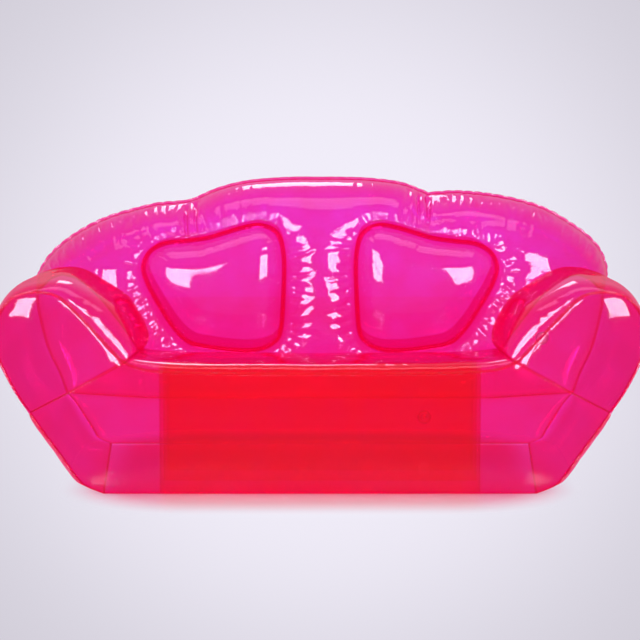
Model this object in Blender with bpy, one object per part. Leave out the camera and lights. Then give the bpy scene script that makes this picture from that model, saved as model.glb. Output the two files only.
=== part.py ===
"""Two-seat inflatable sofa of tinted vinyl film, in metres, +Z up, front towards -Y.

The origin is the middle of the flat bottom sheet. Every sheet of film is its own solid, and so is
every weld between sheets. Two air valves at the back have a stem that pushes in, a plug that swings
on its strap and an inner check flap.
"""
import math

import bmesh
import bpy
import numpy as np
from mathutils import Vector
from mathutils.bvhtree import BVHTree
from mathutils.geometry import delaunay_2d_cdt

# Film, welds and clearances
FILM = 0.0005
GAP = 0.0003
WELD_RADIUS = 0.0015
FIN_WIDTH = 0.006
WELD_END_GAP = 0.004
WEB_GAP = 0.0008

# Overall depth between the front and rear seams
SEAM_DEPTH = 0.76

# Front outline: half the width at the widest place of the arms, and insets from there
ARM_HALF = 0.8266
ARM_WIDEST_HEIGHT = 0.400
ARM_TOP_INSET = 0.1038
ARM_HEIGHT = 0.519
ARM_WIDTH = 0.3266
FRONT_NECK_INSET = 0.0846
FRONT_NECK_HEIGHT = 0.212
FRONT_BASE_INSET = 0.2706
SEAT_CORNER_HEIGHT = 0.339
SEAT_EDGE_HEIGHT = 0.308

# Rear outline, inside the front one at the arms
BACK_INSET = 0.0226
BACK_SIDE_LIFT = 0.045
REAR_NECK_INSET = 0.082
REAR_NECK_DROP = 0.062
REAR_BASE_INSET = 0.204
BACK_HEIGHT = 0.763
NOTCH_DROP = 0.0655

# How the arms and the seat end against the backrest
ARM_END_INSET = 0.089
CREASE_CORNER_DROP = 0.039
CREASE_DROP = 0.038

# How far each sheet bulges, and how fast it rises from its welds
FRONT_BULGE = 0.038
FRONT_RISE = 0.070
ARM_FRONT_BULGE = 0.048
ARM_FRONT_RISE = 0.060
REAR_BULGE = 0.060
REAR_RISE = 0.120
REAR_BASE_BULGE = 0.030
REAR_BASE_RISE = 0.050
BACK_BULGE = 0.245
BACK_RISE = 0.200
SIDE_BULGE = 0.030
SIDE_RISE = 0.100
ARM_OUTER_BULGE = 0.020
ARM_TOP_BULGE = 0.032
ARM_INNER_BULGE = 0.092
ARM_RISE = 0.100
SEAT_BULGE = 0.034
SEAT_RISE = 0.070

# Back pillows
PILLOW_SIDE_GAP = 0.005
PILLOW_MIDDLE_GAP = 0.190
PILLOW_TOP_GAP = 0.125
PILLOW_FOOT_GAP = 0.028
PILLOW_GROOVE = 0.050
PILLOW_GROOVE_RISE = 0.040
PILLOW_CROWN = 0.078
PILLOW_RISE = 0.060

# Sheets inside the base
BAFFLE_SIDE_GAP = 0.087
BAFFLE_SETBACK = 0.020
BAFFLE_SPACING = 0.160
BAFFLE_SEAT_GAP = 0.0009
DIAPHRAGM_DIP = 0.015

# Air valves
SEAT_VALVE_INSET = 0.300
BACK_VALVE_INSET = 0.164
BACK_VALVE_RISE = 0.150
VALVE_SPOT_RADIUS = 0.028
FLANGE_RADIUS = 0.019
FLANGE_THICKNESS = 0.0012
STEM_RADIUS = 0.0063
STEM_WALL = 0.0027
STEM_LENGTH = 0.016
STEM_TRAVEL = 0.012
STOP_RIM_RADIUS = 0.0085
STOP_RIM_THICKNESS = 0.0024
EAR_REACH = 0.0096
EAR_HALF_WIDTH = 0.0015
PLUG_DEPTH = 0.005
PLUG_TAPER = 0.0011
PLUG_HEAD_RADIUS = 0.006
PLUG_HEAD_THICKNESS = 0.0016
STRAP_THICKNESS = 0.0009
STRAP_HALF_WIDTH = 0.0014
FLAP_RADIUS = 0.005
FLAP_THICKNESS = 0.0005
FLAP_TAB_REACH = 0.0066
FLAP_TAB_HALF_WIDTH = 0.0015

# Outline stretches: places between the two ends of each stretch, as shares of its width and height
FRONT_SIDE_SHARES = ((0.215, 0.08), (0.35, 0.18), (0.613, 0.515), (0.828, 0.777))
ARM_OUTER_SHARES = ((0.39, 0.266), (0.72, 0.548), (0.92, 0.76))
ARM_UPPER_SHARES = ((0.044, 0.336), (0.15, 0.597), (0.391, 0.849), (0.69, 0.966))
ARM_INNER_SHARES = (
    (0.17, 0.028), (0.284, 0.1), (0.455, 0.311), (0.625, 0.534), (0.795, 0.761), (0.943, 0.955),
)
SEAT_EDGE_SHARES = ((0.036, 0.323), (0.137, 0.726), (0.39, 0.935))
REAR_SIDE_SHARES = ((0.262, 0.1), (0.393, 0.276), (0.738, 0.73))
REAR_OUTER_SHARES = ((0.232, 0.183), (0.646, 0.444), (0.963, 0.817))
BACK_LOBE_SHARES = ((0.021, 0.226), (0.154, 0.507), (0.422, 0.786), (0.753, 0.954), (0.93, 0.99))
BACK_CROWN_SHARES = ((0.06, 0.1), (0.247, 0.557), (0.472, 0.863), (0.771, 0.995))
ARM_END_UPPER_SHARES = ((0.32, 0.4), (0.64, 0.8))
ARM_END_INNER_SHARES = ((0.22, 0.06), (0.48, 0.28), (0.7, 0.55), (0.88, 0.8))
PILLOW_SHARES = (
    (-0.465, -0.33), (-0.485, 0.0), (-0.485, 0.28), (-0.44, 0.45), (-0.33, 0.515), (-0.2, 0.495),
    (-0.07, 0.45), (0.05, 0.41), (0.2, 0.385), (0.34, 0.365), (0.445, 0.3), (0.492, 0.18),
    (0.46, 0.04), (0.375, -0.14), (0.275, -0.32), (0.17, -0.435), (0.03, -0.475), (-0.15, -0.5),
    (-0.3, -0.495), (-0.41, -0.44),
)
NOTCH_SHARE = 0.757
ARM_END_SHARE = 0.249505
ARM_OVERHANG_SHARE = 1.6
DEPTH_ROW_SHARES = (0.0, 0.05, 0.16, 0.35, 0.6, 0.82, 0.95, 1.0)
BACK_ROW_SHARES = (0.0, 0.33, 0.67, 1.0)

# Counts of facets along each outline stretch
BOTTOM_STEPS = 8
SIDE_STEPS = 5
OUTER_STEPS = 5
UPPER_STEPS = 4
INNER_STEPS = 7
SEAT_STEPS = 7
LOBE_STEPS = 8
CROWN_STEPS = 6
PILLOW_STEPS = 30
DIAPHRAGM_SEAT_STEPS = 4
DIAPHRAGM_REAR_STEPS = 2
VALVE_SIDES = 12
SPOT_SIDES = 8

# Spacing of the facets inside the broad sheets
RING_NEAR = 0.014
RING_FAR = 0.042
WIDE_SPACING = 0.085
BACK_SPACING = 0.060
PILLOW_SPACING = 0.052

# Tints: red, green, blue, roughness
FILM_TINT = (0.90, 0.03, 0.38, 0.12)
INNER_TINT = (0.80, 0.01, 0.10, 0.20)
WELD_TINT = (0.72, 0.01, 0.16, 0.30)
VALVE_TINT = (0.93, 0.88, 0.90, 0.35)

# Places that follow from the sizes
FRONT_Y = -SEAM_DEPTH / 2
REAR_Y = SEAM_DEPTH / 2
ARM_TOP_HALF = ARM_HALF - ARM_TOP_INSET
SEAT_HALF = ARM_HALF - ARM_WIDTH
FRONT_NECK_HALF = ARM_HALF - FRONT_NECK_INSET
FRONT_BASE_HALF = ARM_HALF - FRONT_BASE_INSET
BACK_HALF = ARM_HALF - BACK_INSET
BACK_WIDEST_HEIGHT = ARM_WIDEST_HEIGHT + BACK_SIDE_LIFT
REAR_NECK_HALF = BACK_HALF - REAR_NECK_INSET
REAR_NECK_HEIGHT = FRONT_NECK_HEIGHT - REAR_NECK_DROP
REAR_BASE_HALF = BACK_HALF - REAR_BASE_INSET
NOTCH_HALF = SEAT_HALF * NOTCH_SHARE
NOTCH_HEIGHT = BACK_HEIGHT - NOTCH_DROP
ARM_END_TOP_HALF = BACK_HALF - ARM_END_INSET
ARM_END_HEIGHT = BACK_WIDEST_HEIGHT + (NOTCH_HEIGHT - BACK_WIDEST_HEIGHT) * ARM_END_SHARE
CREASE_CORNER_HEIGHT = SEAT_CORNER_HEIGHT - CREASE_CORNER_DROP
CREASE_HEIGHT = SEAT_EDGE_HEIGHT - CREASE_DROP
PILLOW_INNER_HALF = PILLOW_MIDDLE_GAP / 2
PILLOW_OUTER_HALF = SEAT_HALF - PILLOW_SIDE_GAP
PILLOW_TOP = BACK_HEIGHT - PILLOW_TOP_GAP
PILLOW_FOOT = CREASE_HEIGHT + PILLOW_FOOT_GAP
BAFFLE_HALF = SEAT_HALF - BAFFLE_SIDE_GAP
DIAPHRAGM_INNER_HEIGHT = REAR_NECK_HEIGHT - DIAPHRAGM_DIP
SEAT_VALVE_X = REAR_BASE_HALF - SEAT_VALVE_INSET
SEAT_VALVE_HEIGHT = REAR_NECK_HEIGHT / 2
BACK_VALVE_X = BACK_HALF - BACK_VALVE_INSET
BACK_VALVE_HEIGHT = REAR_NECK_HEIGHT + BACK_VALVE_RISE
FILM_EDGE = WELD_RADIUS + GAP + FILM / 2
FLOOR_WELD_HEIGHT = FILM + GAP + WELD_RADIUS
SMALLEST = FILM * 1e-6
LEFT = -1
RIGHT = 1
SIDE_NAMES = {LEFT: "left", RIGHT: "right"}


# Curves and outlines

def spline(points, steps, closed=False):
    """Even places along a smooth curve through the points; a closed one ends where it starts."""
    points = [np.array(point, float) for point in points]
    if closed:
        chain = [points[-1], *points, points[0], points[1]]
    else:
        chain = [2 * points[0] - points[1], *points, 2 * points[-1] - points[-2]]
    fine = []
    for first, start, end, last in zip(chain, chain[1:], chain[2:], chain[3:]):
        for share in np.linspace(0, 1, 12, endpoint=False):
            curve = 2 * start + (end - first) * share
            curve += (2 * first - 5 * start + 4 * end - last) * share ** 2
            curve += (3 * start - first - 3 * end + last) * share ** 3
            fine.append(curve / 2)
    fine.append(points[0] if closed else points[-1])
    return spaced(np.array(fine), steps)


def spaced(path, steps):
    """The same path as evenly spaced places, steps stretches long."""
    lengths = np.linalg.norm(np.diff(path, axis=0), axis=1)
    reach = np.concatenate(([0], np.cumsum(lengths)))
    wanted = np.linspace(0, reach[-1], steps + 1)
    return np.column_stack([np.interp(wanted, reach, path[:, axis]) for axis in range(path.shape[1])])


def stretch(start, end, shares, steps):
    """One stretch of an outline from start to end, bent through places given as shares."""
    start = np.array(start)
    end = np.array(end)
    bends = [start + (end - start) * np.array(share) for share in shares]
    return spline([start, *bends, end], steps)


def joined(*stretches):
    """Stretches laid end to end, with each shared end once."""
    parts = [stretches[0], *(piece[1:] for piece in stretches[1:])]
    return np.vstack(parts)


def mirrored(path):
    """A flat half outline from its middle outwards, made whole from left to right."""
    left = path[::-1] * np.array((-1, 1))
    return np.vstack((left, path[1:]))


def at_depth(path, depth):
    """A flat outline in X and Z stood up at one depth or at a depth for each place."""
    depths = np.broadcast_to(depth, len(path))
    return np.column_stack((path[:, 0], depths, path[:, 1]))


def weld_distance(places, path, closed):
    """Smooth distance from flat places to a weld: pi over the sum of length / distance squared."""
    starts = path if closed else path[:-1]
    ends = np.roll(path, -1, axis=0) if closed else path[1:]
    along = ends - starts
    lengths = np.linalg.norm(along, axis=1)
    along = along / lengths[:, None]
    apart = places[:, None, :] - starts[None, :, :]
    before = (apart * along).sum(axis=2)
    beside = np.abs(apart[:, :, 0] * along[:, 1] - apart[:, :, 1] * along[:, 0])
    beside = np.maximum(beside, SMALLEST)
    angles = np.arctan(before / beside) + np.arctan((lengths - before) / beside)
    return math.pi / (angles / beside).sum(axis=1)


def swell(distance, rise):
    """Share of the full bulge at a distance from the weld, steep at the weld and level far from it."""
    return np.sqrt(1 - np.exp(-2 * np.asarray(distance) / rise))


def inside(places, loop):
    """Which flat places lie inside a closed loop."""
    result = np.zeros(len(places), bool)
    for start, end in zip(loop, np.roll(loop, -1, axis=0)):
        crosses = (start[1] > places[:, 1]) != (end[1] > places[:, 1])
        span = np.where(crosses, end[1] - start[1], 1)
        where = start[0] + (places[:, 1] - start[1]) / span * (end[0] - start[0])
        result ^= crosses & (places[:, 0] < where)
    return result


def square_to(along, way):
    """Each direction turned square to the line that it leaves, at length one."""
    along = along / np.linalg.norm(along, axis=1)[:, None]
    way = way - (way * along).sum(axis=1)[:, None] * along
    return way / np.linalg.norm(way, axis=1)[:, None]


def square_off(line, way):
    """Directions that leave a line square to its stretches on both sides, longer at its corners."""
    steps = np.diff(line, axis=0)
    before = square_to(np.vstack((steps[:1], steps)), way)
    after = square_to(np.vstack((steps, steps[-1:])), way)
    return (before + after) / (1 + (before * after).sum(axis=1))[:, None]


def nearest(places, loop):
    """Straight distance from flat places to a closed loop."""
    ends = np.roll(loop, -1, axis=0)
    along = ends - loop
    apart = places[:, None, :] - loop[None, :, :]
    share = np.clip((apart * along).sum(axis=2) / (along ** 2).sum(axis=1), 0, 1)
    return np.linalg.norm(apart - share[:, :, None] * along, axis=2).min(axis=1)


def inward(loop, flip):
    """Directions into the sheet at each place of a flat anticlockwise loop, longer at its corners."""
    before = loop - np.roll(loop, 1, axis=0)
    after = np.roll(loop, -1, axis=0) - loop
    before /= np.linalg.norm(before, axis=1)[:, None]
    after /= np.linalg.norm(after, axis=1)[:, None]
    normal = np.column_stack((-before[:, 1] - after[:, 1], before[:, 0] + after[:, 0])) / 2
    spread = np.maximum((normal ** 2).sum(axis=1), 0.05)
    return flip * normal / spread[:, None]


# Objects and materials

def material(name, tint):
    """A plain material of one colour and roughness."""
    made = bpy.data.materials.new(name)
    made.use_nodes = True
    shader = made.node_tree.nodes["Principled BSDF"]
    shader.inputs["Base Color"].default_value = (*tint[:3], 1)
    shader.inputs["Roughness"].default_value = tint[3]
    shader.inputs["Metallic"].default_value = 0
    return made


def new_object(name, bm, tint, place=(0, 0, 0)):
    """An object in the scene from a bmesh, with its own material."""
    mesh = bpy.data.meshes.new(name)
    bm.to_mesh(mesh)
    bm.free()
    made = bpy.data.objects.new(name, mesh)
    bpy.context.scene.collection.objects.link(made)
    made.location = place
    mesh.materials.append(material(name, tint))
    return made


def film_object(name, places, faces, tint):
    """A sheet of film from its middle surface, thickened to both sides."""
    bm = bmesh.new()
    verts = [bm.verts.new(place) for place in places]
    for face in faces:
        bm.faces.new([verts[index] for index in face])
    bmesh.ops.recalc_face_normals(bm, faces=bm.faces)
    made = new_object(name, bm, tint)
    thicken = made.modifiers.new("film", "SOLIDIFY")
    thicken.thickness = FILM
    thicken.offset = 0
    return made


# Sheets spread over an outline

def edge_places(loop, flip, bulge_way):
    """Places of a sheet's edge, drawn back from the weld by a film edge."""
    flat = loop[:, (0, 2)]
    into = inward(flat, flip)
    widened = np.linalg.norm(into, axis=1)[:, None]
    way = at_depth(into / widened, bulge_way)
    along = np.roll(loop, -1, axis=0) - np.roll(loop, 1, axis=0)
    return loop + square_to(along, way) * widened * FILM_EDGE


def spread_places(loops, rings, spacing, spots):
    """Flat places inside the loops: rows beside each weld, then an even field."""
    outer = loops[0][:, (0, 2)]
    flats = [loop[:, (0, 2)] for loop in loops]
    kept = np.empty((0, 2))
    for ring in rings:
        for flat, flip in zip(flats, [1] + [-1] * (len(flats) - 1)):
            row = flat + inward(flat, flip) * ring
            clear = inside(row, outer)
            for other in flats:
                clear &= nearest(row, other) > ring * 0.9
            for hole in flats[1:]:
                clear &= ~inside(row, hole)
            kept = np.vstack((kept, row[clear]))
    low = outer.min(axis=0)
    high = outer.max(axis=0)
    reach = np.abs((low[0], high[0])).max()
    rows = np.arange(low[1], high[1], spacing * math.sqrt(0.75))
    field = []
    for index, height in enumerate(rows):
        half = np.arange(spacing / 2 * (index % 2), reach, spacing)
        across = np.concatenate((-half[::-1], half[half > 0]))
        field.extend((x, height) for x in across)
    field = np.array(field)
    clear = inside(field, outer)
    for flat in flats:
        clear &= nearest(field, flat) > rings[-1] + spacing * 0.45
    for hole in flats[1:]:
        clear &= ~inside(field, hole)
    kept = np.vstack((kept, field[clear]))
    for spot in spots:
        away = np.linalg.norm(kept - np.array(spot), axis=1)
        kept = kept[away > VALVE_SPOT_RADIUS * 1.3]
    return kept


def spread_sheet(name, loops, bulge_way, height, rings, spacing, tint, spots=()):
    """A sheet over an outline, with holes; height gives its Y, bulge_way the side that it swells to."""
    flips = [1] + [-1] * (len(loops) - 1)
    edges = [edge_places(loop, flip, bulge_way) for loop, flip in zip(loops, flips)]
    field = spread_places(loops, rings, spacing, spots)
    levels = height(field)
    for spot in spots:
        turns = np.arange(SPOT_SIDES) * math.tau / SPOT_SIDES
        round_spot = np.array(spot) + VALVE_SPOT_RADIUS * np.column_stack((np.cos(turns), np.sin(turns)))
        field = np.vstack((field, round_spot))
        level = height(np.array([spot]))[0]
        levels = np.concatenate((levels, np.full(SPOT_SIDES, level)))
    places = np.vstack((*edges, at_depth(field, levels)))
    flat = places[:, (0, 2)]
    bounds = []
    start = 0
    for edge in edges:
        count = len(edge)
        bounds.extend((start + index, start + (index + 1) % count) for index in range(count))
        start += count
    vectors = [Vector(place) for place in flat]
    corners, _, triangles, origins, _, _ = delaunay_2d_cdt(vectors, bounds, [], 0, SMALLEST)
    order = [source[0] for source in origins]
    corners = np.array([tuple(corner) for corner in corners])
    middles = np.array([corners[list(triangle)].mean(axis=0) for triangle in triangles])
    kept = inside(middles, edges[0][:, (0, 2)])
    for edge in edges[1:]:
        kept &= ~inside(middles, edge[:, (0, 2)])
    faces = [[order[index] for index in triangle] for triangle, keep in zip(triangles, kept) if keep]
    return film_object(name, places, faces, tint)


# Sheets drawn between two welds

def ruled_sheet(name, first, last, shares, tint, bulges=None, rise=SIDE_RISE):
    """A sheet from one weld line to another, swollen by a vector for each column of places."""
    columns = len(first)
    gaps = np.linalg.norm(last - first, axis=1)
    middle = (first + last) / 2
    steps = np.linalg.norm(np.diff(middle, axis=0), axis=1)
    reach = np.concatenate(([0], np.cumsum(steps)))
    depth = gaps.mean()
    frame = np.array(((0, 0), (reach[-1], 0), (reach[-1], depth), (0, depth)))
    ends = {0: unit(middle[1] - middle[0]), columns - 1: unit(middle[-2] - middle[-1])}
    leaving = square_off(first, last - first)
    arriving = square_off(last, first - last)
    places = []
    for column in range(columns):
        drawn = ends.get(column, np.zeros(3)) * FILM_EDGE
        for share in shares:
            place = first[column] * (1 - share) + last[column] * share + drawn
            if share == 0:
                place = place + leaving[column] * FILM_EDGE
            elif share == 1:
                place = place + arriving[column] * FILM_EDGE
            elif bulges is not None and column not in ends:
                here = np.array(((reach[column], depth * share),))
                place = place + bulges[column] * swell(weld_distance(here, frame, True), rise)
            places.append(place)
    rows = len(shares)
    faces = []
    for column in range(columns - 1):
        for row in range(rows - 1):
            corner = column * rows + row
            faces.append((corner, corner + rows, corner + rows + 1, corner + 1))
    return film_object(name, np.array(places), faces, tint)


# Welds

def weld_line(name, path, closed=False):
    """A welded bead along a path, drawn back from its neighbours at both ends."""
    if not closed:
        path = path.copy()
        path[0] += unit(path[1] - path[0]) * WELD_END_GAP
        path[-1] += unit(path[-2] - path[-1]) * WELD_END_GAP
    curve = bpy.data.curves.new(name, "CURVE")
    curve.dimensions = "3D"
    curve.bevel_depth = WELD_RADIUS
    curve.bevel_resolution = 0
    curve.use_fill_caps = True
    line = curve.splines.new("POLY")
    line.points.add(len(path) - 1)
    for point, place in zip(line.points, path):
        point.co = (*place, 1)
    line.use_cyclic_u = closed
    made = bpy.data.objects.new(name, curve)
    bpy.context.scene.collection.objects.link(made)
    curve.materials.append(material(name, WELD_TINT))
    return made


def unit(vector):
    """The vector at length one."""
    return vector / np.linalg.norm(vector)


def seam_fin(name, loop, way):
    """The welded edge round the front or the rear: a bead with a thin fin that points outwards."""
    flat = loop[:, (0, 2)]
    outward = -inward(flat, 1)
    bm = bmesh.new()
    rings = []
    count = len(loop)
    for index, place in enumerate(loop):
        along = unit(loop[(index + 1) % count] - loop[index - 1])
        out = np.array((outward[index, 0], 0, outward[index, 1]))
        downwards = max(0, -out[2])
        out = unit(out * (1 - downwards) + np.array((0, way, 0)) * downwards)
        across = unit(np.cross(along, out))
        corners = (-out * WELD_RADIUS, across * WELD_RADIUS, out * FIN_WIDTH, -across * WELD_RADIUS)
        rings.append([bm.verts.new(place + corner) for corner in corners])
    for ring, following in zip(rings, rings[1:] + rings[:1]):
        for side in range(4):
            after = (side + 1) % 4
            bm.faces.new((ring[side], ring[after], following[after], following[side]))
    bmesh.ops.recalc_face_normals(bm, faces=bm.faces)
    return new_object(name, bm, WELD_TINT)


# Outlines of this sofa

class Outlines:
    """Every weld line of the sofa, worked out once and shared by the sheets and the welds."""

    def __init__(self):
        front_corner = (FRONT_BASE_HALF, FLOOR_WELD_HEIGHT)
        front_neck = (FRONT_NECK_HALF, FRONT_NECK_HEIGHT)
        arm_side = (ARM_HALF, ARM_WIDEST_HEIGHT)
        arm_top = (ARM_TOP_HALF, ARM_HEIGHT)
        seat_corner = (SEAT_HALF, SEAT_CORNER_HEIGHT)
        self.front_bottom = stretch((0, FLOOR_WELD_HEIGHT), front_corner, (), BOTTOM_STEPS)
        self.front_side = stretch(front_corner, front_neck, FRONT_SIDE_SHARES, SIDE_STEPS)
        self.arm_outer = stretch(front_neck, arm_side, ARM_OUTER_SHARES, OUTER_STEPS)
        self.arm_upper = stretch(arm_side, arm_top, ARM_UPPER_SHARES, UPPER_STEPS)
        self.arm_inner = stretch(arm_top, seat_corner, ARM_INNER_SHARES, INNER_STEPS)
        self.seat_edge = stretch(seat_corner, (0, SEAT_EDGE_HEIGHT), SEAT_EDGE_SHARES, SEAT_STEPS)
        self.arm_round = joined(self.arm_outer, self.arm_upper, self.arm_inner)
        self.front_neck = stretch(seat_corner, front_neck, (), SIDE_STEPS)

        rear_corner = (REAR_BASE_HALF, FLOOR_WELD_HEIGHT)
        rear_neck = (REAR_NECK_HALF, REAR_NECK_HEIGHT)
        back_side = (BACK_HALF, BACK_WIDEST_HEIGHT)
        notch = (NOTCH_HALF, NOTCH_HEIGHT)
        self.rear_bottom = stretch((0, FLOOR_WELD_HEIGHT), rear_corner, (), BOTTOM_STEPS)
        self.rear_side = stretch(rear_corner, rear_neck, REAR_SIDE_SHARES, SIDE_STEPS)
        self.rear_outer = stretch(rear_neck, back_side, REAR_OUTER_SHARES, OUTER_STEPS)
        self.back_lobe = stretch(back_side, notch, BACK_LOBE_SHARES, LOBE_STEPS)
        self.back_crown = stretch(notch, (0, BACK_HEIGHT), BACK_CROWN_SHARES, CROWN_STEPS)
        back_half = joined(self.rear_outer, self.back_lobe, self.back_crown)
        self.back_arch = mirrored(back_half[::-1])

        end_top = (ARM_END_TOP_HALF, ARM_END_HEIGHT)
        crease_corner = (SEAT_HALF, CREASE_CORNER_HEIGHT)
        end_upper = stretch(back_side, end_top, ARM_END_UPPER_SHARES, UPPER_STEPS)
        end_inner = stretch(end_top, crease_corner, ARM_END_INNER_SHARES, INNER_STEPS)
        self.arm_end = self.on_back(joined(end_upper, end_inner))
        rear_run = at_depth(self.rear_outer, REAR_Y)
        self.arm_rear = np.vstack((rear_run, self.arm_end[1:]))
        crease = stretch(crease_corner, (0, CREASE_HEIGHT), SEAT_EDGE_SHARES, SEAT_STEPS)
        self.crease = self.on_back(mirrored(crease[::-1]))
        rear_inner = (SEAT_HALF, DIAPHRAGM_INNER_HEIGHT)
        self.rear_neck = stretch(rear_inner, rear_neck, (), SIDE_STEPS)
        rear_middle = stretch((0, DIAPHRAGM_INNER_HEIGHT), rear_inner, (), SEAT_STEPS)
        self.rear_line = mirrored(rear_middle)
        self.rear_weld = mirrored(joined(rear_middle, self.rear_neck))
        self.pillow = {side: self.pillow_ring(side) for side in (LEFT, RIGHT)}

    def back_depth(self, places):
        """Y of the plain backrest surface, before its pillows, at flat places."""
        distance = weld_distance(np.asarray(places, float), self.back_arch, False)
        return REAR_Y - BACK_BULGE * swell(distance, BACK_RISE)

    def on_back(self, path):
        """A flat path laid on the plain backrest surface."""
        return at_depth(path, self.back_depth(path))

    def pillow_ring(self, side):
        """The closed weld round one pillow, at the bottom of its groove, anticlockwise."""
        centre = np.array((side * (PILLOW_OUTER_HALF + PILLOW_INNER_HALF), PILLOW_TOP + PILLOW_FOOT)) / 2
        size = np.array((side * (PILLOW_OUTER_HALF - PILLOW_INNER_HALF), PILLOW_TOP - PILLOW_FOOT))
        corners = [centre + size * np.array(share) for share in PILLOW_SHARES]
        ring = spline(corners, PILLOW_STEPS, closed=True)[:-1]
        if side == RIGHT:
            ring = ring[::-1]
        return at_depth(ring, self.back_depth(ring) + PILLOW_GROOVE)


def across(path):
    """A path on the right as its mirror image on the left, run the other way."""
    return path[::-1] * np.array((-1, 1, 1))


def closed_loop(half):
    """A half loop in X, Z and depth, from the middle round to the middle, made whole."""
    return np.vstack((half, across(half[1:-1])))


# Sheets of film

def front_sheets(lines):
    """The front of the base, and the rounded front of each arm."""
    base = joined(lines.front_bottom, lines.front_side, lines.front_neck[::-1], lines.seat_edge)
    loop = closed_loop(at_depth(base, FRONT_Y))
    spread_bulge("front_panel", loop, FRONT_BULGE, FRONT_RISE)
    arm = at_depth(joined(lines.arm_round, lines.front_neck)[:-1], FRONT_Y)
    spread_bulge("arm_front_right", arm, ARM_FRONT_BULGE, ARM_FRONT_RISE)
    spread_bulge("arm_front_left", across(arm), ARM_FRONT_BULGE, ARM_FRONT_RISE)


def spread_bulge(name, loop, bulge, rise, spots=()):
    """An upright sheet inside one loop that swells away from the middle of the sofa."""
    way = math.copysign(1, loop[0, 1])
    flat = loop[:, (0, 2)]

    def height(places):
        return loop[0, 1] + way * bulge * swell(weld_distance(places, flat, True), rise)

    return spread_sheet(name, (loop,), way, height, (RING_NEAR, RING_FAR), WIDE_SPACING, FILM_TINT, spots)


def rear_sheets(lines):
    """The broad rear sheet and the low one under it, each with a flat spot and a hole for its valve."""
    upper = at_depth(joined(lines.rear_outer, lines.back_lobe, lines.back_crown), REAR_Y)
    weld = at_depth(lines.rear_weld, REAR_Y)
    loop = np.vstack((upper, across(upper[:-1]), weld[1:-1]))
    back_spot = (BACK_VALVE_X, BACK_VALVE_HEIGHT)
    rear = spread_bulge("rear_panel", loop, REAR_BULGE, REAR_RISE, (back_spot,))
    lower = at_depth(joined(lines.rear_bottom, lines.rear_side), REAR_Y)
    loop = np.vstack((lower, weld[1:-1][::-1], across(lower[1:])))
    seat_spot = (SEAT_VALVE_X, SEAT_VALVE_HEIGHT)
    base = spread_bulge("rear_base_panel", loop, REAR_BASE_BULGE, REAR_BASE_RISE, (seat_spot,))
    return {"back": (rear, back_spot), "seat": (base, seat_spot)}


def bottom_sheet(lines):
    """The flat sheet that the sofa stands on."""
    front = [(x, FRONT_Y, FILM / 2) for x, _ in mirrored(lines.front_bottom)]
    rear = [(x, REAR_Y, FILM / 2) for x, _ in mirrored(lines.rear_bottom)]
    places = front + rear[::-1]
    return film_object("bottom_panel", places, [list(range(len(places)))], FILM_TINT)


def side_sheets(lines):
    """The slanted side of the base and the wrap of the arm, on each side."""
    front = at_depth(lines.front_side, FRONT_Y)
    rear = at_depth(lines.rear_side, REAR_Y)
    outwards = np.tile((SIDE_BULGE, 0, 0), (len(front), 1))
    arm_front = at_depth(lines.arm_round, FRONT_Y)
    flat = lines.arm_round
    along = np.gradient(flat, axis=0)
    normals = np.column_stack((along[:, 1], np.zeros(len(flat)), -along[:, 0]))
    normals /= np.linalg.norm(normals, axis=1)[:, None]
    top = OUTER_STEPS + UPPER_STEPS
    marks = (0, OUTER_STEPS, top, top + INNER_STEPS // 2, top + INNER_STEPS)
    sizes = (ARM_OUTER_BULGE, ARM_OUTER_BULGE, ARM_TOP_BULGE, ARM_INNER_BULGE, ARM_INNER_BULGE)
    overhang = np.interp(range(len(flat)), (top, top + INNER_STEPS), (0, ARM_OVERHANG_SHARE))
    normals[:, 0] -= overhang
    normals /= np.linalg.norm(normals, axis=1)[:, None]
    bulges = normals * np.interp(range(len(flat)), marks, sizes)[:, None]
    for side, word in SIDE_NAMES.items():
        turn = np.array((side, 1, 1))
        ruled_sheet("side_panel_" + word, front * turn, rear * turn, DEPTH_ROW_SHARES, FILM_TINT,
                    outwards * turn, SIDE_RISE)
        ruled_sheet("arm_panel_" + word, arm_front * turn, lines.arm_rear * turn, DEPTH_ROW_SHARES,
                    FILM_TINT, bulges * turn, ARM_RISE)


def seat_sheet(lines):
    """The top of the seat, from the front seam back to the crease."""
    front = at_depth(mirrored(lines.seat_edge[::-1]), FRONT_Y)
    upwards = np.tile((0, 0, SEAT_BULGE), (len(front), 1))
    return ruled_sheet("seat_panel", front, lines.crease, DEPTH_ROW_SHARES, FILM_TINT, upwards, SEAT_RISE)


def back_sheets(lines):
    """The front of the backrest with a hole for each pillow, and the two pillows."""
    arch = at_depth(joined(lines.back_lobe, lines.back_crown), REAR_Y)
    ends = lines.arm_end
    right = ends[1:][::-1]
    left = across(right)
    loop = np.vstack((arch, across(arch[:-1]), left, lines.crease[1:-1], right))
    rings = [lines.pillow[side] for side in (LEFT, RIGHT)]
    flats = [ring[:, (0, 2)] for ring in rings]

    def groove(places):
        away = np.min([weld_distance(places, flat, True) for flat in flats], axis=0)
        return lines.back_depth(places) + PILLOW_GROOVE * (1 - swell(away, PILLOW_GROOVE_RISE))

    spread_sheet("backrest_panel", (loop, *rings), -1, groove, (RING_NEAR, RING_FAR), BACK_SPACING, FILM_TINT)
    for side, word in SIDE_NAMES.items():
        flat = lines.pillow[side][:, (0, 2)]

        def crown(places, flat=flat):
            share = swell(weld_distance(places, flat, True), PILLOW_RISE)
            return lines.back_depth(places) + PILLOW_GROOVE - PILLOW_CROWN * share

        spread_sheet("pillow_panel_" + word, (lines.pillow[side],), -1, crown, (RING_NEAR, RING_FAR),
                     PILLOW_SPACING, FILM_TINT)


def surface_of(made):
    """The middle surface of a film object, to measure from."""
    places = [vert.co for vert in made.data.vertices]
    faces = [tuple(face.vertices) for face in made.data.polygons]
    return BVHTree.FromPolygons(places, faces)


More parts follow.
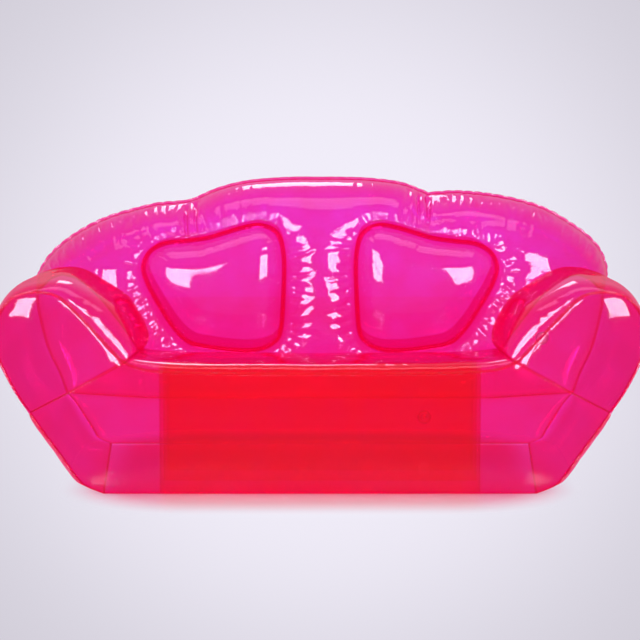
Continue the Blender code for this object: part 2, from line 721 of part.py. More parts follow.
def inner_sheets(lines, seat, rear):
    """The baffles in the base, the sheets between the air chambers and the sleeves behind the pillows."""
    under_seat = surface_of(seat)
    foot = FILM + GAP
    for index, word in enumerate(("front", "middle", "rear")):
        depth = FRONT_Y + BAFFLE_SETBACK + index * BAFFLE_SPACING
        low = []
        high = []
        for x in np.linspace(-BAFFLE_HALF, BAFFLE_HALF, 2 * SEAT_STEPS + 1):
            hit = under_seat.ray_cast(Vector((x, depth, BACK_HEIGHT)), Vector((0, 0, -1)))[0]
            low.append((x, depth, foot))
            high.append((x, depth, hit.z - BAFFLE_SEAT_GAP))
        flat_sheet("seat_baffle_" + word, low, high, INNER_TINT)

    seat_corner = np.array((SEAT_HALF, FRONT_Y, SEAT_CORNER_HEIGHT))
    crease_corner = lines.arm_end[-1]
    rear_inner = np.array((SEAT_HALF, REAR_Y, DIAPHRAGM_INNER_HEIGHT))
    seat_run = spaced(np.array((seat_corner, crease_corner)), DIAPHRAGM_SEAT_STEPS)
    rear_run = spaced(np.array((crease_corner, rear_inner)), DIAPHRAGM_REAR_STEPS)
    inner = joined(seat_run, rear_run)
    front_neck = np.array((FRONT_NECK_HALF, FRONT_Y, FRONT_NECK_HEIGHT))
    rear_neck = np.array((REAR_NECK_HALF, REAR_Y, REAR_NECK_HEIGHT))
    shares = (inner[:, 1:2] - FRONT_Y) / SEAM_DEPTH
    outer = front_neck + (rear_neck - front_neck) * shares
    for side, word in SIDE_NAMES.items():
        turn = np.array((side, 1, 1))
        ruled_sheet("arm_diaphragm_" + word, inner * turn, outer * turn, BACK_ROW_SHARES, INNER_TINT)
    rear_line = at_depth(lines.rear_line, REAR_Y)
    ruled_sheet("back_diaphragm", lines.crease, rear_line, BACK_ROW_SHARES, INNER_TINT)

    behind = surface_of(rear)
    for side, word in SIDE_NAMES.items():
        near = []
        far = []
        for place in lines.pillow[side]:
            hit = behind.ray_cast(Vector((place[0], place[1], place[2])), Vector((0, 1, 0)))[0]
            near.append((place[0], place[1] + FILM_EDGE, place[2]))
            far.append((place[0], hit.y - FILM / 2 - WEB_GAP, place[2]))
        flat_sheet("pillow_web_" + word, near, far, INNER_TINT, closed=True)


def flat_sheet(name, near, far, tint, closed=False):
    """A sheet of one row of facets between two edges, open or closed on itself."""
    count = len(near)
    faces = []
    for index in range(count if closed else count - 1):
        after = (index + 1) % count
        faces.append((index, after, count + after, count + index))
    return film_object(name, np.array(near + far), faces, tint)


# Welds of this sofa

def welds(lines):
    """The two outer seams and every crease between sheets."""
    half = joined(lines.front_bottom, lines.front_side, lines.arm_round, lines.seat_edge)
    seam_fin("front_seam", closed_loop(at_depth(half, FRONT_Y)), -1)
    half = joined(lines.rear_bottom, lines.rear_side, lines.rear_outer, lines.back_lobe, lines.back_crown)
    seam_fin("rear_seam", closed_loop(at_depth(half, REAR_Y)), 1)
    neck = at_depth(lines.front_neck, FRONT_Y)
    rear_neck = np.array((REAR_NECK_HALF, REAR_Y, REAR_NECK_HEIGHT))
    base_front = np.array((FRONT_BASE_HALF, FRONT_Y, FLOOR_WELD_HEIGHT))
    base_rear = np.array((REAR_BASE_HALF, REAR_Y, FLOOR_WELD_HEIGHT))
    arm_run = np.vstack((neck[:1], lines.arm_end[::-1]))
    for side, word in SIDE_NAMES.items():
        turn = np.array((side, 1, 1))
        weld_line("neck_weld_" + word, neck * turn)
        weld_line("side_weld_" + word, np.array((neck[-1], rear_neck)) * turn)
        weld_line("base_weld_" + word, np.array((base_front, base_rear)) * turn)
        weld_line("arm_weld_" + word, arm_run * turn)
        weld_line("pillow_weld_" + word, lines.pillow[side], closed=True)
    weld_line("seat_back_weld", lines.crease)
    weld_line("rear_weld", at_depth(lines.rear_weld, REAR_Y))


# Air valves

def turned_mesh(profile, closed):
    """A mesh turned round the Y axis from a profile of (radius, Y) places."""
    bm = bmesh.new()
    verts = [bm.verts.new((radius, y, 0)) for radius, y in profile]
    for start, end in zip(verts, verts[1:]):
        bm.edges.new((start, end))
    if closed:
        bm.edges.new((verts[-1], verts[0]))
    geometry = bm.verts[:] + bm.edges[:]
    bmesh.ops.spin(bm, geom=geometry, cent=(0, 0, 0), axis=(0, 1, 0), angle=math.tau, steps=VALVE_SIDES,
                   use_merge=True)
    bmesh.ops.remove_doubles(bm, verts=bm.verts, dist=GAP / 10)
    bmesh.ops.recalc_face_normals(bm, faces=bm.faces)
    return bm


def box_mesh(low, high):
    """A box between two corners."""
    bm = bmesh.new()
    bmesh.ops.create_cube(bm, size=1)
    low = Vector(low)
    high = Vector(high)
    bmesh.ops.scale(bm, vec=high - low, verts=bm.verts)
    bmesh.ops.translate(bm, vec=(high + low) / 2, verts=bm.verts)
    return bm


def shifted(bm, offset):
    """The same mesh with its places measured from another origin."""
    bmesh.ops.translate(bm, vec=-Vector(offset), verts=bm.verts)
    return bm


def hidden(made):
    """An object that only shapes another."""
    made.hide_render = True
    made.display_type = "WIRE"
    return made


def combine(body, tool, operation):
    """One solid joined to or cut by a hidden one."""
    modifier = body.modifiers.new(operation.lower(), "BOOLEAN")
    modifier.operation = operation
    modifier.solver = "EXACT"
    modifier.object = tool


def valve(word, film, spot):
    """One air valve on a flat spot of a rear sheet, with its hole in the film."""
    level = surface_of(film).ray_cast(Vector((spot[0], 0, spot[1])), Vector((0, 1, 0)))[0].y
    centre = Vector((spot[0], level, spot[1]))
    prefix = word + "_valve_"
    half = FLANGE_THICKNESS / 2
    hole_radius = FLANGE_RADIUS + GAP
    hole = turned_mesh(((0, -FLANGE_RADIUS), (hole_radius, -FLANGE_RADIUS), (hole_radius, FLANGE_RADIUS),
                        (0, FLANGE_RADIUS)), False)
    combine(film, hidden(new_object(prefix + "hole", hole, VALVE_TINT, centre)), "DIFFERENCE")

    inner = STEM_RADIUS + GAP
    flange = turned_mesh(((inner, -half), (FLANGE_RADIUS, -half), (FLANGE_RADIUS, half), (inner, half)), True)
    new_object(prefix + "flange", flange, VALVE_TINT, centre)

    bore = STEM_RADIUS - STEM_WALL
    rim_top = -half - GAP
    rim_low = rim_top - STOP_RIM_THICKNESS
    profile = ((bore, rim_low), (STOP_RIM_RADIUS, rim_low), (STOP_RIM_RADIUS, rim_top),
               (STEM_RADIUS, rim_top), (STEM_RADIUS, STEM_LENGTH), (bore, STEM_LENGTH))
    stem = new_object(prefix + "stem", turned_mesh(profile, True), VALVE_TINT, centre)
    ear_low = half + GAP + STEM_TRAVEL
    ear_high = STEM_LENGTH - GAP
    ear_start = (STEM_RADIUS + bore) / 2
    ear = box_mesh((ear_start, ear_low, -EAR_HALF_WIDTH), (EAR_REACH, ear_high, EAR_HALF_WIDTH))
    combine(stem, hidden(new_object(prefix + "ear", ear, VALVE_TINT, centre)), "UNION")

    hinge = Vector((EAR_REACH, STEM_LENGTH, 0))
    top = bore - GAP
    head_low = STEM_LENGTH + GAP
    head_high = head_low + PLUG_HEAD_THICKNESS
    tip = STEM_LENGTH - PLUG_DEPTH
    profile = ((0, tip), (top - PLUG_TAPER, tip), (top, STEM_LENGTH), (top, head_low),
               (PLUG_HEAD_RADIUS, head_low), (PLUG_HEAD_RADIUS, head_high), (0, head_high))
    plug = new_object(prefix + "plug", shifted(turned_mesh(profile, False), hinge), VALVE_TINT, hinge)
    plug.parent = stem
    strap_high = head_low + STRAP_THICKNESS
    strap = box_mesh((top, head_low, -STRAP_HALF_WIDTH), (EAR_REACH, strap_high, STRAP_HALF_WIDTH))
    combine(plug, hidden(new_object(prefix + "strap", strap, VALVE_TINT, centre)), "UNION")

    flap_top = rim_low - GAP
    flap_low = flap_top - FLAP_THICKNESS
    hinge = Vector((FLAP_TAB_REACH, flap_top, 0))
    profile = ((0, flap_low), (FLAP_RADIUS, flap_low), (FLAP_RADIUS, flap_top), (0, flap_top))
    flap = new_object(prefix + "flap", shifted(turned_mesh(profile, False), hinge), VALVE_TINT, hinge)
    flap.parent = stem
    tab = box_mesh((bore, flap_low, -FLAP_TAB_HALF_WIDTH), (FLAP_TAB_REACH, flap_top, FLAP_TAB_HALF_WIDTH))
    combine(flap, hidden(new_object(prefix + "tab", tab, VALVE_TINT, centre)), "UNION")


def main():
    """Clear the scene and build every piece of the sofa."""
    for old in list(bpy.data.objects):
        bpy.data.objects.remove(old, do_unlink=True)
    lines = Outlines()
    front_sheets(lines)
    rear = rear_sheets(lines)
    bottom_sheet(lines)
    side_sheets(lines)
    seat = seat_sheet(lines)
    back_sheets(lines)
    inner_sheets(lines, seat, rear["back"][0])
    welds(lines)
    for word, (film, spot) in rear.items():
        valve(word, film, spot)


main()
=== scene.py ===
"""Looks of a two-seat inflatable sofa of see-through pink vinyl film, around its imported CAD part.

Metres, +Z up, front towards -Y. Every sheet of film, weld and valve piece is a finer piece that
stands for its CAD node. The welds lie where the CAD has them, apart from the backrest's right lobe,
which stands a little higher. Between its welds each sheet swells as blown-up film does: steep
beside a weld, level far from it, and gathered into short puckers where a curved weld takes up less
length than the sheet.
"""
import logging
import math
from dataclasses import dataclass, field
from enum import Enum
from typing import Callable, Iterable, Sequence

import bmesh
import bpy
import numpy as np
from mathutils import Matrix, Vector, noise
from mathutils.geometry import delaunay_2d_cdt


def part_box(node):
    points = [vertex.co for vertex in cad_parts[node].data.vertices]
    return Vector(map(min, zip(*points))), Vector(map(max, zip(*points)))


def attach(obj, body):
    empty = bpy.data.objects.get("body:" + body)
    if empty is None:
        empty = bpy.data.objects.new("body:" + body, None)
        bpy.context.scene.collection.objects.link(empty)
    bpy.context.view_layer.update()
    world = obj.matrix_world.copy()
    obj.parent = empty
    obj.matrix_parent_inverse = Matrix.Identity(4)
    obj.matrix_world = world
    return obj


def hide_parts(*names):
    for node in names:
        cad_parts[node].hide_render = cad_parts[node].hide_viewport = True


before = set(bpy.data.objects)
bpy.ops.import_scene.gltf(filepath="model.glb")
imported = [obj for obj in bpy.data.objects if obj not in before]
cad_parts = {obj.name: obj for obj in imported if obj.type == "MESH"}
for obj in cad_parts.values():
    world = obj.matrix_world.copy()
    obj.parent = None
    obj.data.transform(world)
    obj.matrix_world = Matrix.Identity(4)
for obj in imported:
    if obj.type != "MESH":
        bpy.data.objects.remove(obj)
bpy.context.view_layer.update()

LOG = logging.getLogger("sofa")
MM = 0.001
FILM = 0.0006
# Keeps the bottom sheet off the floor's own plane, where a ray meets only one of the two.
FLOOR_GAP = 0.0001
SMALLEST = 1e-9
# Places measured at a time, which keeps memory low.
BATCH = 4000
# Places of a smooth curve between two of its points.
CURVE_STEPS = 12
# The most that a direction into a sheet is stretched at a corner is one over this.
CORNER_LIMIT = 0.3
RIM_RISE = 0.020
# Beside a weld the film can't move: its creases and waves grow to full over this length.
WELD_CALM = 0.004
LEFT = -1
RIGHT = 1
SIDE_NAMES = {LEFT: "left", RIGHT: "right"}
Y_WAY = np.array((0.0, 1.0, 0.0))
X_WAY = np.array((1.0, 0.0, 0.0))
Z_WAY = np.array((0.0, 0.0, 1.0))

Rule = Callable[[np.ndarray], np.ndarray]
Spot = tuple[float, float]


# Colour and nodes

def srgb(code: str) -> tuple[float, float, float, float]:
    """An sRGB hex colour as linear light.

    Args:
        code: six hex digits after a hash.

    Returns:
        Red, green, blue and an alpha of one.
    """
    levels = [int(code[place:place + 2], 16) / 255 for place in (1, 3, 5)]
    light = [x / 12.92 if x <= 0.04045 else ((x + 0.055) / 1.055) ** 2.4 for x in levels]
    return (*light, 1.0)


def add_node(tree: bpy.types.NodeTree, kind: str, links: dict | None = None, **settings) -> bpy.types.Node:
    """Adds a node with its settings, socket values and links.

    Args:
        tree: the node tree.
        kind: the node's type, without the word Shader and Node before it.
        links: input name or place to the value it holds, or to the output that feeds it. A node
            stands for its first output.
        settings: properties of the node itself.

    Returns:
        The new node.
    """
    made = tree.nodes.new("ShaderNode" + kind)
    for name, value in settings.items():
        setattr(made, name, value)
    for key, value in (links or {}).items():
        if isinstance(value, bpy.types.Node):
            value = value.outputs[0]
        if isinstance(value, bpy.types.NodeSocket):
            tree.links.new(value, made.inputs[key])
        else:
            made.inputs[key].default_value = value
    return made


def new_material(name: str) -> tuple[bpy.types.Material, bpy.types.NodeTree]:
    """An empty node material.

    Args:
        name: what the real material is.

    Returns:
        The material and its node tree.
    """
    made = bpy.data.materials.new(name)
    made.use_nodes = True
    made.node_tree.nodes.clear()
    return made, made.node_tree


# Finishes

@dataclass(frozen=True)
class ClearFilm:
    """Soft PVC film, calendered, dyed through and clear. It tints what is behind it, more with each
    layer and where it is seen at a slant, as glass does. It mirrors lamps sharply, and its reflections
    show the soft ripple of the calender rolls. Where a height is given, its tint deepens towards the bottom,
    by a step below that height and a fade that starts above it.
    """

    name: str
    through: str
    deep: str
    slant: str
    body: str
    body_share: float
    roughness: float = 0.07
    ior: float = 1.28
    ripple_mm: float = 70.0
    grain_mm: float = 9.0
    ripple_height_mm: float = 0.5
    mirror: str = "#FFE2F6"
    most_gloss: float = 0.24
    grain_share: float = 0.10
    bump_strength: float = 0.6
    scuff_levels: tuple[float, float] = (0.35, 0.75)
    scuff_shares: tuple[float, float] = (0.7, 1.7)
    tint_levels: tuple[float, float] = (0.35, 0.65)
    # Where the tint deepens towards the bottom, and by what colour.
    deepen_height: float | None = None
    deepen_tint: str = "#FFD0D8"
    deepen_step: float = 0.15
    deepen_fade: tuple[float, float] = (0.25, -0.10)

    def material(self) -> bpy.types.Material:
        """Makes the node material of this film.

        Returns:
            The material.
        """
        made, tree = new_material(self.name)
        spot = add_node(tree, "TexCoord").outputs["Object"]
        ripple = add_node(tree, "TexNoise", {
            "Vector": spot, "Scale": 1 / (self.ripple_mm * MM), "Detail": 2.0, "Roughness": 0.45})
        grain = add_node(tree, "TexNoise", {
            "Vector": spot, "Scale": 1 / (self.grain_mm * MM), "Detail": 1.0, "Roughness": 0.5})
        clear = add_node(tree, "BsdfTransparent", {"Color": self.dye(tree, spot, ripple)})
        body = add_node(tree, "BsdfTranslucent", {"Color": srgb(self.body)})
        dyed = add_node(tree, "MixShader", {0: self.body_share, 1: clear, 2: body})

        relief = add_node(tree, "Math", {0: grain, 1: self.grain_share, 2: ripple}, operation="MULTIPLY_ADD")
        bump = add_node(tree, "Bump", {
            "Height": relief, "Strength": self.bump_strength, "Distance": self.ripple_height_mm * MM})
        scuff = add_node(tree, "MapRange", {
            "Value": grain, "From Min": self.scuff_levels[0], "From Max": self.scuff_levels[1],
            "To Min": self.roughness * self.scuff_shares[0],
            "To Max": self.roughness * self.scuff_shares[1]})
        mirror = add_node(tree, "BsdfGlossy", {
            "Color": srgb(self.mirror), "Roughness": scuff, "Normal": bump})
        edge = add_node(tree, "Fresnel", {"IOR": self.ior, "Normal": bump})
        capped = add_node(tree, "Math", {0: edge, 1: self.most_gloss}, operation="MINIMUM")
        leaving = add_node(tree, "NewGeometry").outputs["Backfacing"]
        entering = add_node(tree, "Math", {0: 1.0, 1: leaving}, operation="SUBTRACT")
        gloss = add_node(tree, "Math", {0: entering, 1: capped}, operation="MULTIPLY")
        skin = add_node(tree, "MixShader", {0: gloss, 1: dyed, 2: mirror})
        add_node(tree, "OutputMaterial", {"Surface": skin})
        return made

    def dye(self, tree: bpy.types.NodeTree, spot: bpy.types.NodeSocket,
            ripple: bpy.types.Node) -> bpy.types.Node:
        """The film's colour in transmission, uneven by a trace and deeper at a slant.

        Args:
            tree: the node tree.
            spot: where on the piece.
            ripple: the pattern of the calender rolls.

        Returns:
            The node that gives the colour.
        """
        tint = add_node(tree, "ValToRGB", {"Fac": ripple})
        codes = (self.deep, self.through)
        for element, place, code in zip(tint.color_ramp.elements, self.tint_levels, codes):
            element.position = place
            element.color = srgb(code)
        slope = add_node(tree, "LayerWeight", {"Blend": 0.5})
        dye = add_node(tree, "MixRGB", {0: slope.outputs["Facing"], 1: tint, 2: srgb(self.slant)})
        if self.deepen_height is None:
            return dye
        # The tint deepens towards the bottom: a step below the height and a fade that starts above it.
        height = add_node(tree, "SeparateXYZ", {0: spot}).outputs["Z"]
        step = add_node(tree, "Math", {0: height, 1: self.deepen_height}, operation="LESS_THAN")
        start, end = (self.deepen_height + aside for aside in self.deepen_fade)
        lower = add_node(tree, "MapRange", {"Value": height, "From Min": start, "From Max": end})
        doubled = add_node(tree, "Math", {0: step, 1: self.deepen_step, 2: lower},
                           operation="MULTIPLY_ADD", use_clamp=True)
        return add_node(tree, "MixRGB", {0: doubled, 1: dye, 2: srgb(self.deepen_tint)}, blend_type="MULTIPLY")


class Vinyl(Enum):
    """The finishes of this sofa: each one's film and the name of a material slot, which nothing here uses."""

    FILM = (ClearFilm("soft PVC film, pink", "#FFB7F6", "#FFAFF0", "#FF8AD2", "#FF3CA8", 0.025), "film")
    LOWER = (ClearFilm("soft PVC film, pink, of the base and the arms", "#FFAEEA", "#FFA6E4", "#FF80C6",
                       "#FF2896", 0.03), "film")
    # Its tint deepens towards the bottom.
    REAR = (ClearFilm("soft PVC film, pink, deeper towards the bottom", "#FFB7F6", "#FFAFF0", "#FF8AD2",
                      "#FF3CA8", 0.025, deepen_height=0.420), "film")
    SEAT = (ClearFilm("soft PVC film, pink, seen almost edge on", "#FFBCF4", "#FFB4EE", "#FFB0E0",
                      "#FF2FA0", 0.03, most_gloss=0.5), "film")
    # Paler than the rest of the film, so the shaded floor under the sofa shows lighter through it: painted
    # light against that shade.
    SOLE = (ClearFilm("soft PVC film, pink, paled against the shade under it", "#FFD8FA", "#FFD4F7", "#FFBCE7",
                      "#FF3CA8", 0.0125), "film")
    INNER = (ClearFilm("soft PVC film, red pink baffle", "#FF9CDC", "#FF94D4", "#F0489A", "#FF1050",
                       0.015, roughness=0.14), "inner_film")
    SLEEVE = (ClearFilm("thin clear PVC film", "#FFDCF6", "#FFD4F2", "#FFB0DC", "#FF60B8", 0.01,
                        roughness=0.14), "inner_film")
    RING = (ClearFilm("welded PVC film, gathered", "#FF88BC", "#FF80B4", "#F04490", "#E80860", 0.03,
                      roughness=0.22, ripple_mm=12.0, grain_mm=2.0), "weld")
    WELD = (ClearFilm("welded PVC film, doubled", "#FF96D2", "#FF8CCA", "#F45CA8", "#F0107A", 0.03,
                      roughness=0.2, ripple_mm=12.0, grain_mm=2.0), "weld")
    MOULDED = (ClearFilm("moulded milky PVC of the valves", "#FFE0F2", "#FFD8EE", "#FFC0DE", "#F8DCEA",
                         0.45, roughness=0.12, ripple_mm=6.0, grain_mm=1.5, ripple_height_mm=0.05),
               "valve_vinyl")


class Wardrobe:
    """The materials, each made once and handed to the pieces that wear it."""

    def __init__(self) -> None:
        """Starts with no material made."""
        self._made: dict[Vinyl, bpy.types.Material] = {}

    def dress(self, made: bpy.types.Object, vinyl: Vinyl, node: str, body: str = "film",
              fill: float | None = None) -> None:
        """Dresses a piece, ties it to its body and hides the CAD node that it stands for.

        Args:
            made: the finished piece.
            vinyl: its finish.
            node: the CAD node that it stands for.
            body: the body that it rides on.
            fill: how full it is, for a padded piece; not used.
        """
        film, slot = vinyl.value
        if vinyl not in self._made:
            self._made[vinyl] = film.material()
        made.data.materials.append(self._made[vinyl])
        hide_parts(node)
        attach(made, body)
        LOG.info("%s: %d faces", made.name, len(made.data.polygons))


# Curves

def reach_along(path: np.ndarray) -> np.ndarray:
    """Length along a path at each of its places."""
    return np.concatenate(([0], np.cumsum(np.linalg.norm(np.diff(path, axis=0), axis=1))))


def spaced(path: np.ndarray, steps: int) -> np.ndarray:
    """The same path as evenly spaced places.

    Args:
        path: the path, flat or not.
        steps: how many stretches it gets.

    Returns:
        The places, one more than there are steps.
    """
    reach = reach_along(path)
    wanted = np.linspace(0, reach[-1], steps + 1)
    return np.column_stack([np.interp(wanted, reach, column) for column in path.T])


def spline(points: Sequence, steps: int, closed: bool = False) -> np.ndarray:
    """Even places along a smooth curve through some points.

    Args:
        points: the points that the curve passes through.
        steps: how many stretches the path has.
        closed: whether the curve comes back to its first point.

    Returns:
        The places; a closed curve ends where it starts.
    """
    points = [np.array(point, float) for point in points]
    if closed:
        chain = [points[-1], *points, points[0], points[1]]
    else:
        chain = [2 * points[0] - points[1], *points, 2 * points[-1] - points[-2]]
    fine = []
    for first, start, end, last in zip(chain, chain[1:], chain[2:], chain[3:]):
        for share in np.linspace(0, 1, CURVE_STEPS, endpoint=False):
            curve = 2 * start + (end - first) * share
            curve += (2 * first - 5 * start + 4 * end - last) * share ** 2
            curve += (3 * start - first - 3 * end + last) * share ** 3
            fine.append(curve / 2)
    fine.append(points[0] if closed else points[-1])
    return spaced(np.array(fine), steps)


def stretch(start: Sequence, end: Sequence, shares: Sequence, steps: int) -> np.ndarray:
    """One stretch of an outline from start to end.

    Args:
        start: X and Z of its start.
        end: X and Z of its end.
        shares: the places that it bends through, as shares of its width and height.
        steps: how many even steps it has.

    Returns:
        Its places, evenly spaced.
    """
    start, end = np.array(start), np.array(end)
    return spline([start, *(start + (end - start) * np.array(share) for share in shares), end], steps)


def joined(*stretches: np.ndarray) -> np.ndarray:
    """Stretches laid end to end, with each shared end once."""
    return np.vstack([stretches[0], *(piece[1:] for piece in stretches[1:])])


def mirrored(path: np.ndarray) -> np.ndarray:
    """A flat half outline from its middle outwards, made whole from left to right."""
    return np.vstack((path[::-1] * (-1, 1), path[1:]))


def at_depth(path: np.ndarray, depth: float | np.ndarray) -> np.ndarray:
    """A flat outline in X and Z stood up at one depth or at a depth for each place."""
    return np.column_stack((path[:, 0], np.broadcast_to(depth, len(path)), path[:, 1]))


def flat_of(places: np.ndarray) -> np.ndarray:
    """X and Z of places, as seen from the front."""
    return places[:, (0, 2)]


def across(path: np.ndarray) -> np.ndarray:
    """A path on the right as its mirror image on the left, run the other way."""
    return path[::-1] * (-1, 1, 1)


def closed_loop(half: np.ndarray) -> np.ndarray:
    """A half loop from the middle round to the middle, made whole."""
    return np.vstack((half, across(half[1:-1])))


def unit(vectors: np.ndarray) -> np.ndarray:
    """Vectors at length one."""
    return vectors / np.maximum(np.linalg.norm(vectors, axis=-1, keepdims=True), SMALLEST)


def in_parts(count: int) -> Iterable[slice]:
    """Slices that cover so many places a few thousand at a time, to keep memory low."""
    return (slice(start, start + BATCH) for start in range(0, count, BATCH))


def runs(path: np.ndarray, closed: bool) -> tuple[np.ndarray, np.ndarray, np.ndarray]:
    """The straight runs of a path.

    Args:
        path: its places.
        closed: whether it comes back to its start.

    Returns:
        The start, the step and the length of each run.
    """
    starts = path if closed else path[:-1]
    steps = (np.roll(path, -1, axis=0) if closed else path[1:]) - starts
    return starts, steps, np.linalg.norm(steps, axis=1)


def weld_distance(places: np.ndarray, path: np.ndarray, closed: bool) -> np.ndarray:
    """Smooth distance from flat places to a weld: pi over the sum of length over distance squared.

    Args:
        places: flat places.
        path: the weld.
        closed: whether the weld comes back to its start.

    Returns:
        A distance for each place.
    """
    starts, along, lengths = runs(path, closed)
    along = along / lengths[:, None]
    result = np.empty(len(places))
    for part in in_parts(len(places)):
        apart = places[part, None, :] - starts[None, :, :]
        before = (apart * along).sum(axis=2)
        gap = np.abs(apart[:, :, 0] * along[:, 1] - apart[:, :, 1] * along[:, 0])
        gap = np.maximum(gap, SMALLEST)
        angles = np.arctan(before / gap) + np.arctan((lengths - before) / gap)
        result[part] = math.pi / (angles / gap).sum(axis=1)
    return result


def swell(distance: np.ndarray, rise: float) -> np.ndarray:
    """Share of the full bulge at a distance from the weld, steep at the weld and level far from it."""
    return np.sqrt(1 - np.exp(-2 * np.asarray(distance) / rise))


def lens(distance: np.ndarray, rise: float, rim: float) -> np.ndarray:
    """Share of the full bulge of a sheet with a small round rim at its weld and a gentle slope beyond.

    Args:
        distance: distances from the weld.
        rise: how far the gentle slope reaches.
        rim: the share of the bulge that the rim has.

    Returns:
        A share for each distance.
    """
    return rim * swell(distance, RIM_RISE) + (1 - rim) * swell(distance, rise) ** 2


def ease(share: np.ndarray) -> np.ndarray:
    """A soft step from 0 to 1 over a share from 0 to 1."""
    share = np.clip(share, 0, 1)
    return share ** 2 * (3 - 2 * share)


def beside(places: np.ndarray, path: np.ndarray, closed: bool) -> tuple[np.ndarray, np.ndarray]:
    """How far along a path each flat place is, and how far from it.

    Args:
        places: flat places.
        path: the path.
        closed: whether the path comes back to its start.

    Returns:
        Length along the path and straight distance from it, for each place.
    """
    starts, steps, lengths = runs(path, closed)
    reach = np.concatenate(([0], np.cumsum(lengths)))
    along = np.empty(len(places))
    away = np.empty(len(places))
    for part in in_parts(len(places)):
        apart = places[part, None, :] - starts
        share = np.clip((apart * steps).sum(axis=2) / (lengths ** 2), 0, 1)
        gaps = np.linalg.norm(apart - share[:, :, None] * steps, axis=2)
        best = gaps.argmin(axis=1)
        rows = np.arange(len(best))
        along[part] = reach[best] + share[rows, best] * lengths[best]
        away[part] = gaps[rows, best]
    return along, away


def nearest(places: np.ndarray, paths: Sequence[np.ndarray], closed: bool) -> np.ndarray:
    """Distance from flat places to the nearest of some paths."""
    return np.min([beside(places, path, closed)[1] for path in paths], axis=0)


def inside(places: np.ndarray, loops: Sequence[np.ndarray]) -> np.ndarray:
    """Which flat places lie inside the first loop and in none of the others.

    Args:
        places: flat places.
        loops: flat loops, the first round all the others.

    Returns:
        True or False for each place.
    """
    result = np.zeros(len(places), bool)
    for loop in loops:
        for start, end in zip(loop, np.roll(loop, -1, axis=0)):
            crosses = (start[1] > places[:, 1]) != (end[1] > places[:, 1])
            span = np.where(crosses, end[1] - start[1], 1)
            where = start[0] + (places[:, 1] - start[1]) / span * (end[0] - start[0])
            result ^= crosses & (places[:, 0] < where)
    return result


def inward(loop: np.ndarray, flip: int) -> np.ndarray:
    """Directions from a flat anticlockwise loop into its sheet, a little longer at corners.

    Args:
        loop: the loop.
        flip: 1 for a loop round the sheet, -1 for a hole in it.

    Returns:
        A direction for each place.
    """
    before = unit(loop - np.roll(loop, 1, axis=0))
    after = unit(np.roll(loop, -1, axis=0) - loop)
    normal = np.column_stack((-before[:, 1] - after[:, 1], before[:, 0] + after[:, 0])) / 2
    spread = np.maximum((normal ** 2).sum(axis=1), CORNER_LIMIT)
    return flip * normal / spread[:, None]


# Puckers and folds of the film

@dataclass(frozen=True)
class Puckers:
    """Short creases that leave a weld at right angles, where it gathers the film.

    The creases are sharp valleys a few millimetres wide, and the film between them stays full. Their
    places, lengths and depths vary by chance from a fixed seed. The space between two creases, their
    depth, reach and width, and how far from the weld they start, are in millimetres. where gives
    shares of the weld's length and how strong the creases are there. The pairs of shares are the
    ranges that chance has.
    """

    path: np.ndarray
    seed: int
    spacing: float
    depth: float
    reach: float
    width: float
    lean: float = 0.25
    start: float = 0.0
    where: Sequence = ((0.0, 1.0), (1.0, 1.0))
    closed: bool = False
    depth_shares: tuple[float, float] = (0.35, 1.15)
    reach_shares: tuple[float, float] = (0.55, 1.3)
    width_shares: tuple[float, float] = (0.7, 1.5)
    spacing_shares: tuple[float, float] = (0.55, 1.45)
    weakest: float = 0.02
    widening: float = 0.8
    fade_in: float = 0.25
    crossing_share: float = 0.5

    def valleys(self, places: np.ndarray) -> np.ndarray:
        """Depth of the creases at flat places, in metres.

        Args:
            places: flat places on the sheet.

        Returns:
            A depth for each place, at or above zero.
        """
        chance = np.random.default_rng(self.seed)
        along, away = beside(places, self.path, self.closed)
        total = runs(self.path, self.closed)[2].sum()
        stops, strengths = zip(*self.where)
        spacing, start = self.spacing * MM, self.start * MM
        result = np.zeros(len(places))
        spot = chance.uniform(0, spacing)
        while spot < total:
            strength = np.interp(spot / total, stops, strengths) * chance.uniform(*self.depth_shares)
            reach = self.reach * MM * chance.uniform(*self.reach_shares)
            width = self.width * MM * chance.uniform(*self.width_shares)
            lean = chance.normal(0, self.lean)
            bow = chance.normal(0, self.lean) / reach
            if strength > self.weakest:
                off = along - spot - (away - start) * (lean + bow * away)
                if self.closed:
                    off = (off + total / 2) % total - total / 2
                near = (np.abs(off) < width * 6) & (away < start + reach * 1.6)
                wide = width * (1 + self.widening * away[near] / reach)
                fade = np.clip((away[near] - start) / (reach * self.fade_in), 0, 1)
                fade = fade * np.exp(-((away[near] - start) / reach) ** 2 * 1.5)
                crease = self.depth * MM * strength * fade / (1 + (off[near] / wide) ** 2) ** 1.5
                shallow = np.minimum(result[near], crease)
                result[near] = np.maximum(result[near], crease) + shallow * self.crossing_share
            spot += spacing * chance.uniform(*self.spacing_shares)
        return result


@dataclass(frozen=True)
class Fold:
    """One longer fold of the film: a soft valley with a crisp bottom, deepest where it leaves the weld.

    It runs through offsets from its start, and last is the share of its depth that it keeps at its end.
    """

    start: np.ndarray
    offsets: Sequence
    depth: float
    width: float
    last: float

    def valleys(self, places: np.ndarray) -> np.ndarray:
        """Depth of the fold at flat places, in metres.

        Args:
            places: flat places on the sheet.

        Returns:
            A depth for each place, at or above zero.
        """
        line = spline([self.start, *(self.start + offset for offset in self.offsets)], 24)
        along, away = beside(places, line, False)
        share = along / reach_along(line)[-1]
        taper = np.where(share < 0.5, 1, np.clip((1 - share) / 0.12, 0, 1))
        strength = (1 + (self.last - 1) * share) * taper
        return self.depth * strength / (1 + (away / self.width) ** 2) ** 1.3


# Sheets of film

def placed(name: str, data: bpy.types.ID) -> bpy.types.Object:
    """A new object of the scene.

    Args:
        name: its name.
        data: its mesh, lamp or camera.

    Returns:
        The object.
    """
    made = bpy.data.objects.new(name, data)
    bpy.context.scene.collection.objects.link(made)
    return made


